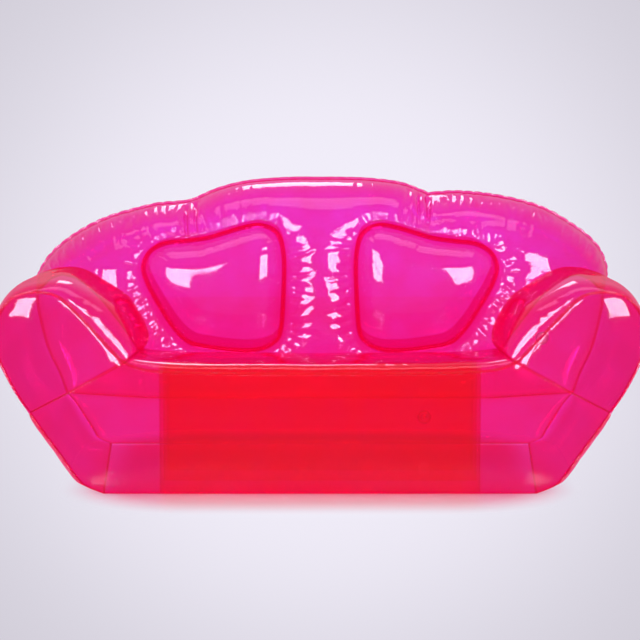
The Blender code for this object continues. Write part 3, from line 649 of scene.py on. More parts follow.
def new_piece(name: str, bm: bmesh.types.BMesh, thickness: float | None = None) -> bpy.types.Object:
    """A smooth object in the scene from a bmesh, at the origin.

    Args:
        name: the piece's name.
        bm: its mesh, which is freed.
        thickness: what a sheet gets, half to each side.

    Returns:
        The object.
    """
    for face in bm.faces:
        face.smooth = True
    mesh = bpy.data.meshes.new(name)
    bm.to_mesh(mesh)
    bm.free()
    made = placed(name, mesh)
    if thickness is not None:
        modifier = made.modifiers.new("film", "SOLIDIFY")
        modifier.thickness = thickness
        modifier.offset = 0
    return made


def one_way(way: np.ndarray) -> Rule:
    """A rule for the outward direction of a sheet that faces one way."""
    return lambda middles: np.tile(way, (len(middles), 1))


def round_line(core: Sequence) -> Rule:
    """A rule for the outward direction of a sheet round a line that runs from front to back."""
    return lambda middles: (middles - core) * (1.0, 0.0, 1.0)


def face_out(bm: bmesh.types.BMesh, way: Rule) -> None:
    """Turns a sheet so that its faces look out of the sofa.

    Args:
        bm: the sheet.
        way: gives the outward direction for an array of places.
    """
    bmesh.ops.recalc_face_normals(bm, faces=bm.faces)
    middles = np.array([face.calc_center_median()[:] for face in bm.faces])
    normals = np.array([face.normal[:] for face in bm.faces])
    areas = np.array([face.calc_area() for face in bm.faces])
    if ((normals * way(middles)).sum(axis=1) * areas).sum() < 0:
        bmesh.ops.reverse_faces(bm, faces=bm.faces)
    bm.normal_update()


def strip(first: np.ndarray, last: np.ndarray, closed: bool,
          cuts: int) -> tuple[bmesh.types.BMesh, np.ndarray, np.ndarray]:
    """A strip of film drawn from one line of places to another and cut into rows.

    Args:
        first: the places that it starts from.
        last: the places that it ends at, one for each of the first.
        closed: whether the lines come back to their starts.
        cuts: how many rows of places lie between the lines.

    Returns:
        The mesh, and for each of its vertices the number of its column and its share of the way.
    """
    bm = bmesh.new()
    column = bm.verts.layers.float.new("column")
    share = bm.verts.layers.float.new("share")
    verts = [bm.verts.new(place) for place in first]
    for index, vert in enumerate(verts):
        vert[column] = index
    for start, end in zip(verts, verts[1:] + verts[:1] if closed else verts[1:]):
        bm.edges.new((start, end))
    drawn = bmesh.ops.extrude_edge_only(bm, edges=bm.edges[:])["geom"]
    for vert in (item for item in drawn if isinstance(item, bmesh.types.BMVert)):
        vert[share] = 1.0
        vert.co = last[round(vert[column])]
    crossing = [edge for edge in bm.edges if edge.verts[0][share] != edge.verts[1][share]]
    bmesh.ops.subdivide_edges(bm, edges=crossing, cuts=cuts, use_grid_fill=True)
    columns = np.array([round(vert[column]) for vert in bm.verts])
    return bm, columns, np.array([vert[share] for vert in bm.verts])


@dataclass(kw_only=True)
class Sheet:
    """What every sheet of film has: puckers, folds and an uneven swelling in waves of a size in metres."""

    creases: Sequence[Puckers | Fold] = ()
    unevenness: float = 0.0012
    wave: float = 0.11
    seed: int = 1
    seed_step: tuple[float, float, float] = (7.3, 3.1, 5.7)

    def gather(self, bm: bmesh.types.BMesh, places: np.ndarray, flat: np.ndarray,
               welds: Sequence[np.ndarray]) -> None:
        """Gives the sheet its creases and its uneven swelling, none at the welds.

        Args:
            bm: the sheet.
            places: the places of its vertices.
            flat: the same places in its flat measure.
            welds: the loops round it in that measure.
        """
        shift = self.seed * Vector(self.seed_step)
        waves = np.array([noise.noise(Vector(place) / self.wave + shift) for place in places])
        depths = -waves * self.unevenness
        for crease in self.creases:
            depths += crease.valleys(flat)
        depths *= np.clip(nearest(flat, welds, True) / WELD_CALM, 0, 1)
        for vert, depth in zip(bm.verts, depths):
            vert.co -= vert.normal * depth
        bm.normal_update()


@dataclass
class SpreadSheet(Sheet):
    """A sheet of film over a flat outline, with holes, whose Y follows a rule.

    Rows of places run beside each weld, close together where the film is steep, and an even field of
    places fills the rest, closer within fine_reach of a weld. All loops run anticlockwise as seen from
    the front. way is -1 for a sheet that faces the front and 1 for the rear.
    """

    loops: Sequence[np.ndarray]
    height: Rule
    way: int
    rings: Sequence[float]
    spacing: float
    fine_reach: float = 0.05
    ring_clear: float = 0.93
    field_clear: float = 0.7

    def field(self, flats: Sequence[np.ndarray]) -> np.ndarray:
        """Flat places inside the loops, clear of the welds.

        Args:
            flats: the loops as seen from the front.

        Returns:
            The places.
        """
        kept = np.empty((0, 2))
        for ring in self.rings:
            for flat in flats:
                row = flat + inward(flat, 1 if flat is flats[0] else -1) * ring
                clear = inside(row, flats) & (nearest(row, flats, True) > ring * self.ring_clear)
                kept = np.vstack((kept, row[clear]))
        low, high = flats[0].min(axis=0), flats[0].max(axis=0)
        fine = self.spacing / 2
        rows = []
        for index, height in enumerate(np.arange(low[1], high[1], fine * math.sqrt(0.75))):
            row = np.arange(low[0] + fine / 2 * (index % 2), high[0], fine)
            coarse = (index % 2 == 0) & ((np.arange(len(row)) - index // 2) % 2 == 0)
            rows.append(np.column_stack((row, np.full(len(row), height), coarse)))
        rows = np.vstack(rows)
        rows = rows[inside(rows, flats)]
        away = nearest(rows[:, :2], flats, True)
        clear = away > self.rings[-1] + fine * self.field_clear
        wanted = (rows[:, 2] > 0) | (away < self.fine_reach)
        return np.vstack((kept, rows[clear & wanted, :2]))

    def mesh(self) -> bmesh.types.BMesh:
        """Spreads the film over its outline, swollen, puckered and facing out.

        Returns:
            The mesh.
        """
        flats = [flat_of(loop) for loop in self.loops]
        field = self.field(flats)
        places = np.vstack((*self.loops, at_depth(field, self.height(field))))
        bounds = []
        for loop in self.loops:
            start, count = len(bounds), len(loop)
            bounds.extend((start + index, start + (index + 1) % count) for index in range(count))
        corners, _, triangles, origins, _, _ = delaunay_2d_cdt(
            [Vector(place) for place in flat_of(places)], bounds, [], 0, SMALLEST)
        middles = np.array([corner[:] for corner in corners])[np.array(triangles)].mean(axis=1)
        bm = bmesh.new()
        verts = [bm.verts.new(place) for place in places]
        for triangle, kept in zip(triangles, inside(middles, flats)):
            if kept:
                bm.faces.new([verts[origins[index][0]] for index in triangle])
        bmesh.ops.delete(bm, geom=[vert for vert in bm.verts if not vert.link_faces], context="VERTS")
        face_out(bm, one_way(Y_WAY * self.way))
        places = np.array([vert.co[:] for vert in bm.verts])
        self.gather(bm, places, flat_of(places), flats)
        return bm


class Edge(Enum):
    """The edges of a ruled sheet, each by two corners: its two weld lines and the ends of these."""

    FIRST = (0, 1)
    LAST = (3, 2)
    START = (0, 3)
    END = (1, 2)


@dataclass
class RuledSheet(Sheet):
    """A sheet of film from one weld line to another, swollen by a vector for each column of places.

    Without a rim it rises as blown-up film does. A rim gives it the gentle slope of lens. Each of its
    hems is an edge and the seed and measures of the puckers along it. bow bends the whole sheet.
    """

    first: np.ndarray
    last: np.ndarray
    rows: int
    out: Rule
    bulges: Sequence = (0.0, 0.0, 0.0)
    rise: float = 1.0
    rim: float | None = None
    hems: Sequence[tuple] = ()
    bow: Rule | None = None

    def mesh(self) -> bmesh.types.BMesh:
        """Draws the film from weld to weld, swollen, puckered and facing out.

        Returns:
            The mesh.
        """
        bm, columns, shares = strip(self.first, self.last, False, self.rows - 1)
        shares = (1 - np.cos(np.pi * shares)) / 2
        reach = reach_along((self.first + self.last) / 2)
        depth = np.linalg.norm(self.last - self.first, axis=1).mean()
        rim = np.array(((0, 0), (reach[-1], 0), (reach[-1], depth), (0, depth)))
        flat = np.column_stack((reach[columns], depth * shares))
        places = self.first[columns] * (1 - shares[:, None]) + self.last[columns] * shares[:, None]
        within = (shares > SMALLEST) & (shares < 1 - SMALLEST)
        within &= (columns > 0) & (columns < len(self.first) - 1)
        away = weld_distance(flat[within], rim, True)
        level = swell(away, self.rise) if self.rim is None else lens(away, self.rise, self.rim)
        places[within] += np.broadcast_to(self.bulges, self.first.shape)[columns[within]] * level[:, None]
        if self.bow:
            places = self.bow(places)
        for vert, place in zip(bm.verts, places):
            vert.co = place
        bm.normal_update()
        face_out(bm, self.out)
        self.creases = [Puckers(rim[list(edge.value)], *measures) for edge, *measures in self.hems]
        self.gather(bm, places, flat, (rim,))
        return bm


# Weld lines of this sofa

@dataclass(frozen=True)
class SofaSizes:
    """Places of the welds in metres, as X and Z on the right, and the swelling between them.

    They are as the CAD part has them, apart from right_notch, which is the photo's.
    """

    seam_y: float = 0.38
    floor_weld: float = 0.0023
    front_base: Spot = (0.556, 0.0023)
    front_neck: Spot = (0.742, 0.212)
    arm_side: Spot = (0.8266, 0.400)
    arm_top: Spot = (0.7228, 0.519)
    seat_corner: Spot = (0.500, 0.339)
    seat_middle: Spot = (0.0, 0.308)
    rear_base: Spot = (0.600, 0.0023)
    rear_neck: Spot = (0.722, 0.150)
    back_side: Spot = (0.804, 0.445)
    notch: Spot = (0.3785, 0.6975)
    back_top: Spot = (0.0, 0.763)
    right_notch: Spot = (0.306, 0.7185)
    arm_end_top: Spot = (0.715, 0.508)
    crease_corner: Spot = (0.500, 0.300)
    crease_middle: Spot = (0.0, 0.270)
    rear_inner: Spot = (0.500, 0.135)
    pillow_inner: float = 0.095
    pillow_outer: float = 0.495
    pillow_top: float = 0.638
    pillow_foot: float = 0.298
    groove: float = 0.050
    back_bulge: float = 0.245
    back_rise: float = 0.200
    front_bulge: float = 0.066
    front_rise: float = 0.260
    front_rim: float = 0.08
    lean: float = 0.42
    lean_reach: float = 0.120
    neck_dent: float = 0.08
    neck_width: float = 0.035
    scallop: float = 0.0034
    scallop_length: float = 0.031


@dataclass(frozen=True)
class OutlineShares:
    """Bends of each outline stretch, as shares of its width and height from its first end.

    The scallops are shares of a stretch's length and how deep its dips are there.
    """

    front_side: Sequence = ((0.215, 0.08), (0.35, 0.18), (0.613, 0.515), (0.828, 0.777))
    arm_outer: Sequence = ((0.39, 0.266), (0.72, 0.548), (0.92, 0.76))
    arm_upper: Sequence = ((0.044, 0.336), (0.15, 0.597), (0.391, 0.849), (0.69, 0.966))
    arm_inner: Sequence = (
        (0.17, 0.028), (0.284, 0.1), (0.455, 0.311), (0.625, 0.534), (0.795, 0.761), (0.943, 0.955))
    seat_edge: Sequence = ((0.036, 0.323), (0.137, 0.726), (0.39, 0.935))
    rear_side: Sequence = ((0.262, 0.1), (0.393, 0.276), (0.738, 0.73))
    rear_outer: Sequence = ((0.232, 0.183), (0.646, 0.444), (0.963, 0.817))
    back_lobe: Sequence = ((0.021, 0.226), (0.154, 0.507), (0.422, 0.786), (0.753, 0.954), (0.93, 0.99))
    back_crown: Sequence = ((0.06, 0.1), (0.247, 0.557), (0.472, 0.863), (0.771, 0.995))
    right_lobe: Sequence = ((-0.02, 0.165), (-0.012, 0.293), (0.038, 0.472), (0.159, 0.662), (0.363, 0.87),
                            (0.602, 0.98), (0.811, 1.022), (0.95, 1.012))
    right_crown: Sequence = ((0.06, 0.2), (0.258, 0.685), (0.542, 0.933), (0.804, 0.998))
    end_upper: Sequence = ((0.32, 0.4), (0.64, 0.8))
    end_inner: Sequence = ((0.22, 0.06), (0.48, 0.28), (0.7, 0.55), (0.88, 0.8))
    pillow: Sequence = (
        (-0.465, -0.33), (-0.485, 0.0), (-0.485, 0.28), (-0.44, 0.45), (-0.33, 0.515), (-0.2, 0.495),
        (-0.07, 0.45), (0.05, 0.41), (0.2, 0.385), (0.34, 0.365), (0.445, 0.3), (0.492, 0.18),
        (0.46, 0.04), (0.375, -0.14), (0.275, -0.32), (0.17, -0.435), (0.03, -0.475), (-0.15, -0.5),
        (-0.3, -0.495), (-0.41, -0.44))
    lobe_scallops: Sequence = ((0, 0), (0.04, 1), (0.5, 0.9), (0.93, 0.6), (1, 0))
    crown_scallops: Sequence = ((0, 0), (0.08, 0.5), (0.3, 0.25), (1, 0.08))


@dataclass
class WeldLines:
    """Every weld line of the sofa, worked out once and shared by the sheets and the welds."""

    sizes: SofaSizes = field(default_factory=SofaSizes)
    shares: OutlineShares = field(default_factory=OutlineShares)
    outer_steps: int = 28
    upper_steps: int = 20
    inner_steps: int = 38
    side_steps: int = 34
    seat_steps: int = 60
    lobe_steps: int = 96
    crown_steps: int = 70
    bottom_steps: int = 40
    pillow_steps: int = 200

    def __post_init__(self) -> None:
        """Works out every line."""
        self.front_y = -self.sizes.seam_y
        self.rear_y = self.sizes.seam_y
        self.front_lines()
        self.rear_lines()

    def front_lines(self) -> None:
        """The welds of the front, flat in X and Z, on the right."""
        size, share = self.sizes, self.shares
        self.front_bottom = stretch((0.0, size.floor_weld), size.front_base, (), self.bottom_steps)
        self.front_side = stretch(size.front_base, size.front_neck, share.front_side, self.side_steps)
        self.arm_round = joined(
            stretch(size.front_neck, size.arm_side, share.arm_outer, self.outer_steps),
            stretch(size.arm_side, size.arm_top, share.arm_upper, self.upper_steps),
            stretch(size.arm_top, size.seat_corner, share.arm_inner, self.inner_steps))
        self.arm_inner = self.arm_round[self.outer_steps + self.upper_steps:]
        self.seat_edge = stretch(size.seat_corner, size.seat_middle, share.seat_edge, self.seat_steps)
        self.front_neck = stretch(size.seat_corner, size.front_neck, (), self.side_steps)
        half = joined(self.front_bottom, self.front_side, self.arm_round, self.seat_edge)
        self.front_loop = closed_loop(at_depth(half, self.front_y))

    def rear_lines(self) -> None:
        """The welds of the rear, and those that lie on the backrest."""
        size, share = self.sizes, self.shares
        self.rear_bottom = stretch((0.0, size.floor_weld), size.rear_base, (), self.bottom_steps)
        self.rear_side = stretch(size.rear_base, size.rear_neck, share.rear_side, self.side_steps)
        self.rear_outer = stretch(size.rear_neck, size.back_side, share.rear_outer, self.outer_steps)
        self.notch = {LEFT: np.array(size.notch), RIGHT: np.array(size.right_notch)}
        bends = {LEFT: (share.back_lobe, share.back_crown), RIGHT: (share.right_lobe, share.right_crown)}
        self.back_lobe, self.back_crown, plain = {}, {}, {}
        for side, notch in self.notch.items():
            lobe = stretch(size.back_side, notch, bends[side][0], self.lobe_steps)
            crown = stretch(notch, size.back_top, bends[side][1], self.crown_steps)
            plain[side] = joined(self.rear_outer, lobe, crown)
            self.back_lobe[side] = self.scalloped(lobe, share.lobe_scallops)
            self.back_crown[side] = self.scalloped(crown, share.crown_scallops)
        self.plain_arch = np.vstack((plain[LEFT] * (-1, 1), plain[RIGHT][::-1][1:]))

        self.arm_end = self.on_back(joined(
            stretch(size.back_side, size.arm_end_top, share.end_upper, self.upper_steps),
            stretch(size.arm_end_top, size.crease_corner, share.end_inner, self.inner_steps)))
        self.arm_rear = np.vstack((at_depth(self.rear_outer, self.rear_y), self.arm_end[1:]))
        crease = stretch(size.crease_corner, size.crease_middle, share.seat_edge, self.seat_steps)
        self.crease = self.on_back(mirrored(crease[::-1]))
        rear_neck = stretch(size.rear_inner, size.rear_neck, (), self.side_steps)
        rear_middle = stretch((0.0, size.rear_inner[1]), size.rear_inner, (), self.seat_steps)
        self.rear_line = at_depth(mirrored(rear_middle), self.rear_y)
        self.rear_weld = at_depth(mirrored(joined(rear_middle, rear_neck)), self.rear_y)
        self.pillow = {side: self.pillow_ring(side) for side in SIDE_NAMES}

    def scalloped(self, path: np.ndarray, strength: Sequence) -> np.ndarray:
        """A seam that dips inwards at each pucker, as blown-up film pulls it.

        Args:
            path: the smooth seam.
            strength: places along it, as shares, and how deep the dips are there.

        Returns:
            The seam with its dips.
        """
        reach = reach_along(path)
        along = unit(np.gradient(path, axis=0))
        inwards = np.column_stack((-along[:, 1], along[:, 0]))
        wander = np.array([noise.noise(Vector((place * 9, 3.1, 0.7))) for place in reach]) * 0.5
        wave = np.abs(np.sin(np.pi * (reach / self.sizes.scallop_length + wander)))
        stops, levels = zip(*strength)
        dip = (1 - wave) ** 1.5 * self.sizes.scallop * np.interp(reach / reach[-1], stops, levels)
        return path + inwards * dip[:, None]

    def front_depth(self, places: np.ndarray) -> np.ndarray:
        """Y of the whole front, one swell inside the front seam.

        It has a shallow crease at each neck, and leans back a little towards the inner seam of an arm.

        Args:
            places: flat places.

        Returns:
            Y at each place.
        """
        size = self.sizes
        necks = [self.front_neck * (turn, 1) for turn in SIDE_NAMES]
        dent = 1 - size.neck_dent * np.exp(-(nearest(places, necks, False) / size.neck_width) ** 2)
        along, gap = beside(np.abs(places), self.arm_inner, False)
        length = reach_along(self.arm_inner)[-1]
        share = ease(along / size.lean_reach) * ease((length - along) / size.lean_reach)
        lean = 1 - size.lean * share * np.exp(-gap / size.lean_reach)
        away = weld_distance(places, flat_of(self.front_loop), True)
        return self.front_y - size.front_bulge * lens(away, size.front_rise, size.front_rim) * dent * lean

    def on_front(self, path: np.ndarray) -> np.ndarray:
        """A flat path laid on the front."""
        return at_depth(path, self.front_depth(path))

    def back_depth(self, places: np.ndarray) -> np.ndarray:
        """Y of the plain backrest surface, before its pillows, at flat places."""
        distance = weld_distance(places, self.plain_arch, False)
        return self.rear_y - self.sizes.back_bulge * swell(distance, self.sizes.back_rise)

    def on_back(self, path: np.ndarray) -> np.ndarray:
        """A flat path laid on the plain backrest surface."""
        return at_depth(path, self.back_depth(path))

    def arch(self, *lower: np.ndarray) -> np.ndarray:
        """The scalloped top of the backrest, stood up at the rear.

        Args:
            lower: flat stretches on the right that lead up to it, mirrored on the left.

        Returns:
            Its places, from right to left.
        """
        halves = {side: at_depth(joined(*lower, self.back_lobe[side], self.back_crown[side]), self.rear_y)
                  for side in SIDE_NAMES}
        return np.vstack((halves[RIGHT], across(halves[LEFT][:-1])))

    def corner(self, spot: Spot, depth: float) -> np.ndarray:
        """One place of X and Z at a depth."""
        return np.array((spot[0], depth, spot[1]))

    def pillow_ring(self, side: int) -> np.ndarray:
        """The weld round one pillow, at the bottom of its groove.

        Args:
            side: LEFT or RIGHT.

        Returns:
            Its places, anticlockwise, the first one once.
        """
        size = self.sizes
        inner = np.array((side * size.pillow_inner, size.pillow_foot))
        outer = np.array((side * size.pillow_outer, size.pillow_top))
        corners = [(inner + outer) / 2 + (outer - inner) * share for share in self.shares.pillow]
        ring = spline(corners, self.pillow_steps, closed=True)[:-1][::-side]
        return at_depth(ring, self.back_depth(ring) + size.groove)


# Sub-assemblies

@dataclass
class Builder:
    """What every sub-assembly needs: the weld lines and the materials."""

    lines: WeldLines
    wardrobe: Wardrobe

    def film(self, node: str, sheet: SpreadSheet | RuledSheet, vinyl: Vinyl = Vinyl.FILM,
             fill: float | None = None, name: str | None = None) -> bpy.types.Object:
        """Makes one sheet of film and dresses it.

        Args:
            node: the CAD node that it stands for.
            sheet: the sheet.
            vinyl: its finish.
            fill: how full it is, for a padded piece.
            name: the start of the piece's name, where the node's isn't used.

        Returns:
            The finished piece.
        """
        made = new_piece((name or node) + "_film", sheet.mesh(), FILM)
        self.wardrobe.dress(made, vinyl, node, fill=fill)
        return made

    def band(self, node: str, path: np.ndarray, ways: np.ndarray, closed: bool, width: float,
             thickness: float = 0.0016, vinyl: Vinyl = Vinyl.WELD, ending: str = "_band") -> None:
        """Makes a heat-welded band, a doubled strip of film along a path.

        Args:
            node: the CAD node that it stands for.
            path: the weld.
            ways: the direction across the band at each place.
            closed: whether the weld comes back to its start.
            width: how wide the band is.
            thickness: how thick it is.
            vinyl: its finish.
            ending: the end of the piece's name.
        """
        half = ways * width / 2
        bm = strip(path - half, path + half, closed, 2)[0]
        bmesh.ops.recalc_face_normals(bm, faces=bm.faces)
        self.wardrobe.dress(new_piece(node + ending, bm, thickness), vinyl, node)

    def facing(self, node: str, loop: np.ndarray, spacing: float, creases: Sequence, seed: int) -> None:
        """Makes a part of the front sheet inside one loop.

        Args:
            node: the CAD node that it stands for.
            loop: its weld, anticlockwise, on the front.
            spacing: space between its places.
            creases: its puckers and folds.
            seed: chooses its uneven swelling.
        """
        rings = (0.0008, 0.0024, 0.0048, 0.008, 0.012)
        sheet = SpreadSheet((loop,), self.lines.front_depth, -1, rings, spacing, creases=creases, seed=seed)
        self.film(node, sheet, Vinyl.LOWER)

    def upright(self, node: str, loop: np.ndarray, bulge: float, rise: float, spacing: float,
                creases: Sequence, seed: int, valve: Spot, valve_radius: float = 0.024) -> None:
        """Makes an upright sheet at the rear, swollen backwards, flat round its valve and open behind it.

        Args:
            node: the CAD node that it stands for.
            loop: its weld, anticlockwise.
            bulge: how far it swells.
            rise: how fast it swells.
            spacing: space between its places.
            creases: its puckers and folds.
            seed: chooses its uneven swelling.
            valve: X and Z of the valve's middle.
            valve_radius: how far the flat place reaches; the hole is half as wide.
        """
        flat = flat_of(loop)
        spot = np.array((valve,))

        def height(places: np.ndarray) -> np.ndarray:
            """Y of the upright sheet.

            Args:
                places: flat places.

            Returns:
                Y at each place.
            """
            full, level = (self.lines.rear_y + bulge * swell(weld_distance(here, flat, True), rise)
                           for here in (places, spot))
            away = np.linalg.norm(places - spot, axis=1)
            return level + (full - level) * np.clip((away - valve_radius) / valve_radius, 0, 1) ** 2

        turns = np.linspace(0, math.tau, 41)[:-1]
        hole = spot + valve_radius / 2 * np.column_stack((np.cos(turns), np.sin(turns)))
        rings = [rise * (step * 0.16) ** 2 / 2 for step in range(1, 6)]
        sheet = SpreadSheet((loop, at_depth(hole, height(hole))), height, 1, rings, spacing,
                            creases=creases, seed=seed)
        self.film(node, sheet, Vinyl.REAR)


@dataclass
class Base(Builder):
    """The base chamber: front, rear, sides, bottom and seat, with the baffles that keep the seat flat."""

    side_bulge: float = 0.030
    side_rise: float = 0.100
    seat_bulge: float = 0.034
    seat_rise: float = 0.070
    rear_bulge: float = 0.030
    rear_rise: float = 0.050
    valve: Spot = (0.300, 0.075)
    baffle_half: float = 0.413
    baffle_setback: float = 0.020
    baffle_spacing: float = 0.160

    def build(self) -> None:
        """Builds the base."""
        self.front()
        self.rear()
        self.bottom()
        self.sides()
        self.baffles(self.seat())

    def front(self) -> None:
        """The front of the base, gathered at its lower corners and along the crease under each arm."""
        lines = self.lines
        half = joined(lines.front_bottom, lines.front_side, lines.front_neck[::-1], lines.seat_edge)
        creases = []
        for turn, seed in ((RIGHT, 11), (LEFT, 12)):
            creases += [
                Puckers(lines.front_neck * (turn, 1), seed, 34, 2.2, 50, 4.5,
                        where=((0, 0.3), (0.6, 0.15), (0.9, 0.9), (1, 1.2))),
                Puckers(lines.front_side * (turn, 1), seed + 10, 28, 2.2, 40, 4.5,
                        where=((0, 1.2), (0.3, 0.5), (0.8, 0.6), (1, 1.2)))]
        creases += [Puckers(mirrored(lines.seat_edge[::-1]), 15, 45, 1.4, 30, 5),
                    Puckers(mirrored(lines.front_bottom), 16, 50, 1.4, 30, 6)]
        self.facing("front_panel", closed_loop(lines.on_front(half)), 0.011, creases, 2)

    def rear(self) -> None:
        """The low back of the base."""
        lines = self.lines
        lower = at_depth(joined(lines.rear_bottom, lines.rear_side), lines.rear_y)
        loop = np.vstack((lower, lines.rear_weld[1:-1][::-1], across(lower[1:])))
        creases = [Puckers(flat_of(lines.rear_weld), 21, 40, 1.8, 32, 5)]
        self.upright("rear_base_panel", loop, self.rear_bulge, self.rear_rise, 0.012, creases, 3,
                     self.valve)

    def bottom(self) -> None:
        """The flat sheet that the sofa stands on."""
        lines = self.lines
        bm = bmesh.new()
        for path, depth in ((lines.front_bottom, lines.front_y), (lines.rear_bottom, lines.rear_y)):
            verts = [bm.verts.new((x, depth, FILM / 2 + FLOOR_GAP)) for x, _ in mirrored(path)]
            for start, end in zip(verts, verts[1:]):
                bm.edges.new((start, end))
        bridge = bmesh.ops.bridge_loops(bm, edges=bm.edges[:])
        crossing = [edge for edge in bridge["edges"] if abs(edge.verts[0].co.y - edge.verts[1].co.y) > 0.1]
        bmesh.ops.subdivide_edges(bm, edges=crossing, cuts=30, use_grid_fill=True)
        face_out(bm, one_way(-Z_WAY))
        # Its paler film lightens the shade on the floor under the sofa: painted light.
        self.wardrobe.dress(new_piece("bottom_panel_film", bm, FILM), Vinyl.SOLE, "bottom_panel")

    def sides(self) -> None:
        """The slanted side of the base under each arm."""
        lines = self.lines
        front = at_depth(lines.front_side, lines.front_y)
        rear = at_depth(lines.rear_side, lines.rear_y)
        for side, word in SIDE_NAMES.items():
            hems = [(edge, 30 + side + index, 36, 2.2, 45, 5)
                    for index, edge in enumerate((Edge.FIRST, Edge.LAST))]
            sheet = RuledSheet(front * (side, 1, 1), rear * (side, 1, 1), 64, one_way(X_WAY * side),
                               (self.side_bulge * side, 0, 0), self.side_rise, hems=hems, seed=5 + side)
            self.film("side_panel_" + word, sheet, Vinyl.LOWER)

    def seat(self) -> bpy.types.Object:
        """The top of the seat, with the puckers of the crease behind it.

        Returns:
            The finished piece.
        """
        front = at_depth(mirrored(self.lines.seat_edge[::-1]), self.lines.front_y)
        hems = ((Edge.LAST, 41, 22, 3.4, 70, 4.5), (Edge.FIRST, 42, 40, 1.8, 40, 5),
                (Edge.START, 43, 34, 3, 60, 5), (Edge.END, 44, 34, 3, 60, 5))
        sheet = RuledSheet(front, self.lines.crease, 90, one_way(Z_WAY), (0, 0, self.seat_bulge),
                           self.seat_rise, hems=hems, seed=8)
        return self.film("seat_panel", sheet, Vinyl.SEAT, 0.9)

    def baffles(self, seat: bpy.types.Object) -> None:
        """The upright sheets inside the base, from the bottom to the seat.

        Args:
            seat: the seat's sheet, which gives their height.
        """
        places = np.array([vert.co[:] for vert in seat.data.vertices])
        columns = np.linspace(-self.baffle_half, self.baffle_half, 60)
        for index, word in enumerate(("front", "middle", "rear")):
            depth = self.lines.front_y + self.baffle_setback + index * self.baffle_spacing
            high = []
            for x in columns:
                near = np.linalg.norm(places[:, :2] - (x, depth), axis=1).argsort()[:6]
                high.append((x, depth, places[near, 2].mean() - 2 * MM))
            low = np.array([(x, depth, 1.2 * MM) for x in columns])
            sheet = RuledSheet(low, np.array(high), 16, one_way(-Y_WAY), unevenness=0.003, wave=0.16,
                               seed=50 + index)
            self.film("seat_baffle_" + word, sheet, Vinyl.INNER)


@dataclass
class Arms(Builder):
    """The two arms: the rounded front, the wrap from front to back and the sheet under them."""

    outer_bulge: float = 0.020
    top_bulge: float = 0.032
    inner_bulge: float = 0.096
    rise: float = 0.110
    rim: float = 0.25
    overhang: float = 1.6
    core: Spot = (0.665, 0.36)
    bow_length: float = 0.12

    def build(self) -> None:
        """Builds both arms."""
        self.fronts()
        self.wraps()
        self.diaphragms()

    def fronts(self) -> None:
        """The rounded front of each arm, above the crease at its neck."""
        lines = self.lines
        arm = lines.on_front(joined(lines.arm_round, lines.front_neck)[:-1])
        for side, loop in ((RIGHT, arm), (LEFT, across(arm))):
            creases = [
                Puckers(lines.front_neck * (side, 1), 61 + side, 30, 2.6, 60, 4.5, 0.35,
                        where=((0, 0.4), (0.6, 0.2), (0.9, 0.9), (1, 1.3))),
                Puckers(lines.arm_round * (side, 1), 64 + side, 50, 1.2, 30, 6,
                        where=((0, 1.6), (0.1, 0.6), (0.8, 0.6), (1, 1.6)))]
            self.facing("arm_front_" + SIDE_NAMES[side], loop, 0.009, creases, 4 + side)

    def wraps(self) -> None:
        """The sheet round each arm, from the front seam to the backrest."""
        lines = self.lines
        along = np.gradient(lines.arm_round, axis=0)
        normals = unit(at_depth(np.column_stack((along[:, 1], -along[:, 0])), 0.0))
        top = lines.outer_steps + lines.upper_steps
        end = top + lines.inner_steps
        marks = (0, lines.outer_steps, top, top + lines.inner_steps // 2, end)
        levels = (self.outer_bulge, self.outer_bulge, self.top_bulge, self.inner_bulge, self.inner_bulge)
        places = np.arange(len(normals))
        normals[:, 0] -= np.interp(places, (top, end), (0, self.overhang))
        bulges = unit(normals) * np.interp(places, marks, levels)[:, None]
        front = at_depth(lines.arm_round, lines.front_y)
        for side, word in SIDE_NAMES.items():
            turn = (side, 1, 1)
            hems = ((Edge.FIRST, 71 + side, 36, 2.0, 50, 5.5), (Edge.LAST, 74 + side, 26, 3.6, 80, 5),
                    (Edge.START, 77 + side, 45, 2.4, 50, 6), (Edge.END, 80 + side, 34, 3.4, 70, 6))
            sheet = RuledSheet(front * turn, lines.arm_rear * turn, 84,
                               round_line(lines.corner(self.core, 0.0) * turn), bulges * turn, self.rise,
                               self.rim, hems, seed=14 + side)
            self.film("arm_panel_" + word, sheet, Vinyl.LOWER, 0.95)

    def diaphragms(self) -> None:
        """The sheet inside that parts each arm from the base."""
        lines, size = self.lines, self.lines.sizes
        inner = joined(
            spaced(np.array((lines.corner(size.seat_corner, lines.front_y), lines.arm_end[-1])), 40),
            spaced(np.array((lines.arm_end[-1], lines.corner(size.rear_inner, lines.rear_y))), 16))
        front_neck = lines.corner(size.front_neck, lines.front_y)
        rear_neck = lines.corner(size.rear_neck, lines.rear_y)
        shares = (inner[:, 1:2] - lines.front_y) / (lines.rear_y - lines.front_y)
        outer = front_neck + (rear_neck - front_neck) * shares

        def bow(places: np.ndarray) -> np.ndarray:
            """Brings the sheet's front edge forward to the crease that it is welded to.

            Args:
                places: the sheet's places.

            Returns:
                The moved places.
            """
            near = np.clip(1 - (places[:, 1] - lines.front_y) / self.bow_length, 0, 1)
            forward = lines.front_depth(flat_of(places)) - lines.front_y
            return places + Y_WAY * (near * forward)[:, None]

        for side, word in SIDE_NAMES.items():
            sheet = RuledSheet(inner * (side, 1, 1), outer * (side, 1, 1), 20, one_way(Z_WAY), bow=bow,
                               unevenness=0.002, seed=55 + side)
            self.film("arm_diaphragm_" + word, sheet, Vinyl.SLEEVE)


